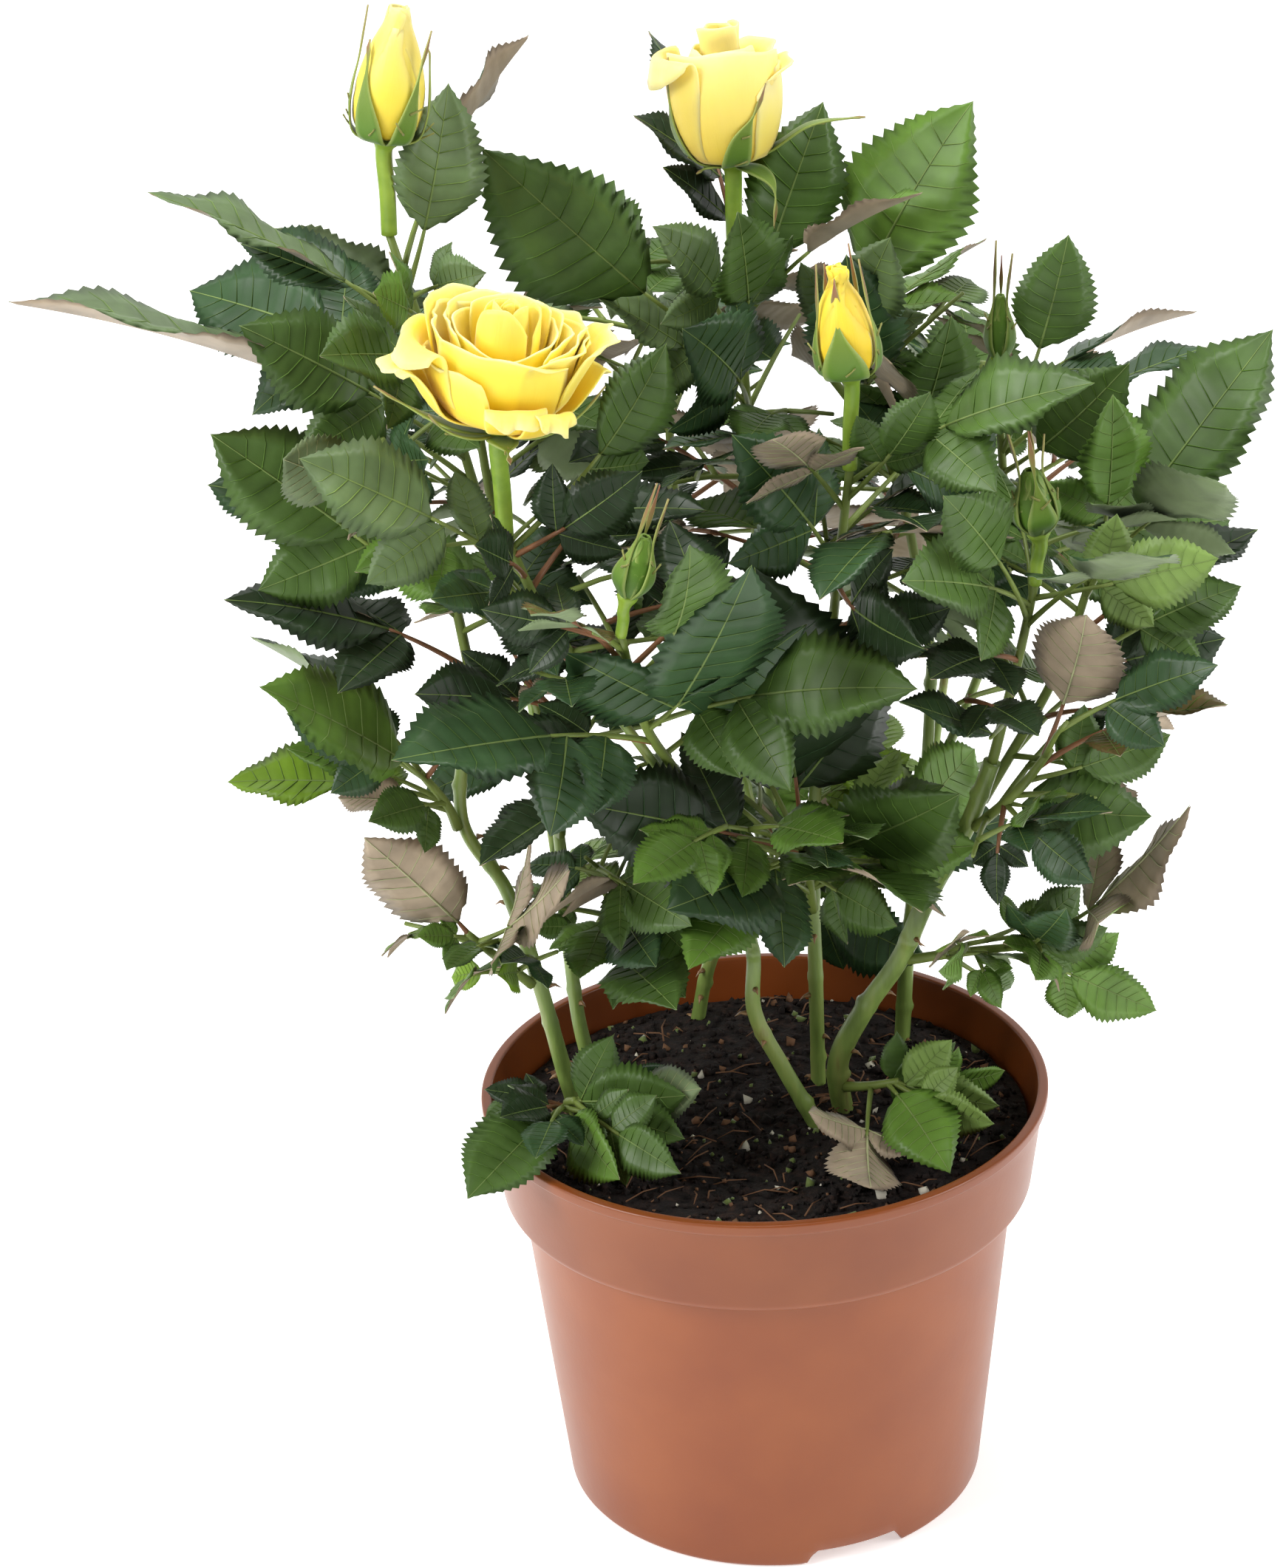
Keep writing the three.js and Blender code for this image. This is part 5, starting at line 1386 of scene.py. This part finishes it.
# ---- pot and peat ----
def rounded(corners):
    """A profile with its corners rounded: (radius, height, fillet) triples, each fillet an arc
    drawn as a quadratic curve between the points where it leaves the straight stretches."""
    corners = np.asarray(corners, float)
    out = [corners[0, :2]]
    for before, here, after in zip(corners[:-2], corners[1:-1], corners[2:]):
        p, fillet = here[:2], here[2]
        if fillet == 0:
            out.append(p)
            continue
        a = p + unit(before[:2] - p) * fillet
        b = p + unit(after[:2] - p) * fillet
        t = np.linspace(0, 1, 5)[:, None]
        out.extend((1 - t) ** 2 * a + 2 * t * (1 - t) * p + t**2 * b)
    out.append(corners[-1, :2])
    return np.array(out)


def subdivided(profile, step):
    """The same profile with points no further apart than step."""
    out = [profile[:1]]
    for a, b in zip(profile[:-1], profile[1:]):
        n = max(1, int(np.ceil(np.linalg.norm(b - a) / step)))
        out.append(a + (b - a) * (np.arange(1, n + 1) / n)[:, None])
    return np.vstack(out)


def notched(points, a):
    """Lifts the foot over the three drain notches, whose ends slope. a is the polar angle."""
    r = np.linalg.norm(points[..., :2], axis=-1)
    for k in range(3):
        middle = np.radians(-70 + 120 * k)
        side = np.abs(np.sin(a - middle)) * r
        ahead = np.cos(a - middle) * r > NOTCH_START
        tall = NOTCH_TALL * np.clip((NOTCH_HALF - side) / 2.0, 0, 1) * ahead
        points[..., 2] = np.where(points[..., 2] < tall, tall, points[..., 2])
    return points


def build_pot():
    """Nursery pot: a flared body, a deep band above an undercut ledge, and a rolled lip."""
    pile = Pile()
    # foot, wall, ledge, band and lip, and then back down the inside
    outside = rounded([
        (0.5, 0, 0), (48.6, 0, 1.2), (57.0, 76.4, 0.5), (60.5, 76.0, 0.4), (61.1, 77.0, 0.6),
        (63.9, 97.0, 0.4), (64.9, 97.4, 0.5), (65.0, 100.0, 0.7), (62.6, 100.0, 0.6),
        (62.0, 96.3, 1.0), (59.2, 78.0, 1.0), (55.1, 73.0, 1.0), (47.3, 5.0, 1.0), (0.5, 5.0, 0),
    ])
    outside = subdivided(outside, 3.0)
    facets = 240
    ring = np.arange(facets)
    a = ring * 2 * np.pi / facets
    r, z = outside[:, :1], outside[:, 1:]
    points = notched(np.stack([r * np.cos(a), r * np.sin(a), z + 0 * a], -1), a)
    pile.put(points, lattice(len(outside), facets, closed=True)[:, ::-1])
    pile.fan((0, 0, 0), ring)
    pile.fan((0, 0, 5), (ring + (len(outside) - 1) * facets)[::-1])
    piece("pot_moulded", pile, [POT], ["pot"])


def uneven(x, y):
    """Slow and quick waves added up, as unevenness of a surface, from about -1 to 1."""
    return (
        0.5 * np.sin(x / 9.1 + 1.3) * np.cos(y / 7.7 + 0.4)
        + 0.3 * np.sin(x / 3.3 + y / 4.1)
        + 0.2 * np.sin(x / 1.7 - y / 1.9 + 2.0)
    )


def peat_height(x, y):
    """The height of the uneven peat, which sinks a little to the rim."""
    sunk = 2.4 * np.clip((np.hypot(x, y) - 50) / 10, 0, 1) ** 1.5
    return PEAT_TOP - 0.6 - sunk + 0.8 * uneven(x, y)


def scattered(rng, count, reach):
    """Points dealt out evenly over a disc of that reach."""
    spread = np.sqrt(rng.random(count)) * reach
    turn = rng.random(count) * 2 * np.pi
    return spread * np.cos(turn), spread * np.sin(turn)


def build_peat():
    """Peat: an uneven disc with a skirt down the pot's wall."""
    pile = Pile()
    rings, facets = 60, 160
    r = np.linspace(0.5, 60.2, rings)[:, None]
    a = (np.arange(facets) * 2 * np.pi / facets)[None]
    x, y = r * np.cos(a), r * np.sin(a)
    top = np.stack([x, y, peat_height(x, y) + 0.5 * uneven(3 * x + 5, 3 * y)], -1)
    skirt = np.stack([60.4 * np.cos(a), 60.4 * np.sin(a), np.full_like(a, 84.0)], -1)
    pile.put(np.concatenate([top, skirt], 0), lattice(rings + 1, facets, closed=True))
    pile.fan((0, 0, PEAT_TOP - 0.4), np.arange(facets))
    piece("peat_surface", pile, [PEAT], ["peat"])


def strew_peat():
    """Crumbs of peat, grit and moss, each an uneven octahedron, and fibres that lie about."""
    pile = Pile()
    rng = np.random.default_rng(3)
    count = 2600
    x, y = scattered(rng, count, 58.5)
    size = 0.5 + 1.5 * rng.random(count) ** 3
    sides = np.array([(1, 0, 0), (-1, 0, 0), (0, 1, 0), (0, -1, 0), (0, 0, 1), (0, 0, -1)], float)
    shape = sides[None] * size[:, None, None] * rng.uniform(0.5, 1.2, (count, 6, 1))
    basis = np.linalg.qr(rng.normal(size=(count, 3, 3)))[0]
    basis *= np.sign(np.linalg.det(basis))[:, None, None]
    points = shape @ basis + np.stack([x, y, peat_height(x, y) + 0.3], -1)[:, None]
    upper = [(0, 2, 4), (2, 1, 4), (1, 3, 4), (3, 0, 4)]
    eight = np.array([*upper, (2, 0, 5), (1, 2, 5), (3, 1, 5), (0, 3, 5)])
    faces = (eight[None] + (np.arange(count) * 6)[:, None, None]).reshape(-1, 3)
    # seven in eight are peat, and the others perlite, bits of fibre or moss
    kinds = rng.choice(4, count, p=(0.88, 0.02, 0.055, 0.045))
    pile.put(points, faces, np.repeat(kinds, 8))
    fibres = 130
    x, y = scattered(rng, fibres, 54)
    start = np.stack([x, y, np.full(fibres, PEAT_TOP + 0.2)], -1)
    way = np.array([polar(angle) for angle in rng.random(fibres) * 360])
    long = (3 + 8 * rng.random(fibres))[:, None]
    middle = start + way * long * 0.5 + UP * 0.9
    end = start + way * long + way[:, [1, 0, 2]] * 1.2
    tubes(pile, np.stack([start, middle, end], 1), np.tile([0.22, 0.2, 0.1], (fibres, 1)), 4, 2)
    piece("peat_crumbs", pile, [PEAT, PERLITE, FIBRE, MOSS], ["peat"])


build_pot()
build_peat()
strew_peat()


# ---- floor, light and camera ----
def build_stage():
    """A white sweep: a floor just under the pot's foot, which bends up far behind it."""
    width = np.linspace(-4000, 4000, 9)
    back = np.array([
        (-4000, 0), (0, 0), (1500, 0), (2300, 120), (2900, 600), (3100, 1400), (3200, 4000),
    ])
    points = np.stack(np.broadcast_arrays(width[None], back[:, :1], back[:, 1:] - 0.15), -1)
    mesh = bpy.data.meshes.new("studio_floor")
    faces = lattice(len(back), len(width)).tolist()
    mesh.from_pydata((points.reshape(-1, 3) * MM).tolist(), [], faces)
    for polygon in mesh.polygons:
        polygon.use_smooth = True
    paper = {"emission_color": linear("#ffffff"), "emission_strength": 0.5}
    sheet = material("studio_paper_lit", base_color=linear("#f4f4f3"), roughness=0.9, **paper)[0]
    mesh.materials.append(sheet)
    add_object("studio_floor", mesh)


def placed_at(axes, place):
    """A matrix that turns to three axes and moves to a place in metres."""
    return Matrix([[*row, p] for row, p in zip(np.stack(axes, -1), place)] + [[0, 0, 0, 1]])


def area_light(name, place, size, watts):
    """A square soft light at place, pointed at the crown's middle, in millimetres."""
    data = bpy.data.lights.new(name, "AREA")
    data.shape = "SQUARE"
    data.size = size * MM
    data.energy = watts
    z = unit(np.array(place, float) - LIT)
    x = unit(np.cross(UP, z))
    add_object(name, data).matrix_world = placed_at((x, np.cross(z, x), z), np.array(place) * MM)


def build_light():
    """Soft light from the left front, a weaker one from the right, and a white surround."""
    area_light("light_left", (-1100, -500, 900), 700, 17)
    area_light("light_right", (1100, -300, 700), 700, 10)
    area_light("light_over", (-100, 100, 1500), 700, 15)
    world = bpy.data.worlds.new("studio_surround")
    world.use_nodes = True
    glow = world.node_tree.nodes["Background"].inputs
    glow["Color"].default_value = (1, 1, 1, 1)
    glow["Strength"].default_value = 0.3
    bpy.context.scene.world = world
    bpy.context.scene.view_settings.view_transform = "Standard"


def build_camera():
    """A long lens 0.9 m from the crown's middle, 24.5 degrees above it and rolled a little."""
    elevation, roll = np.radians(24.5), np.radians(-2.485)
    aim = np.array([-25.12, 0.0, 176.1])
    back = np.array([0.0, -np.cos(elevation), np.sin(elevation)])
    right = np.array([1.0, 0.0, 0.0])
    up = np.array([0.0, np.sin(elevation), np.cos(elevation)])
    x = right * np.cos(roll) + up * np.sin(roll)
    y = up * np.cos(roll) - right * np.sin(roll)
    data = bpy.data.cameras.new("camera")
    data.sensor_fit = "VERTICAL"
    data.sensor_height = 36
    data.lens = 93.19
    camera = add_object("camera", data)
    camera.matrix_world = placed_at((x, y, back), (aim + back * 900) * MM)
    bpy.context.scene.camera = camera


build_stage()
build_light()
build_camera()
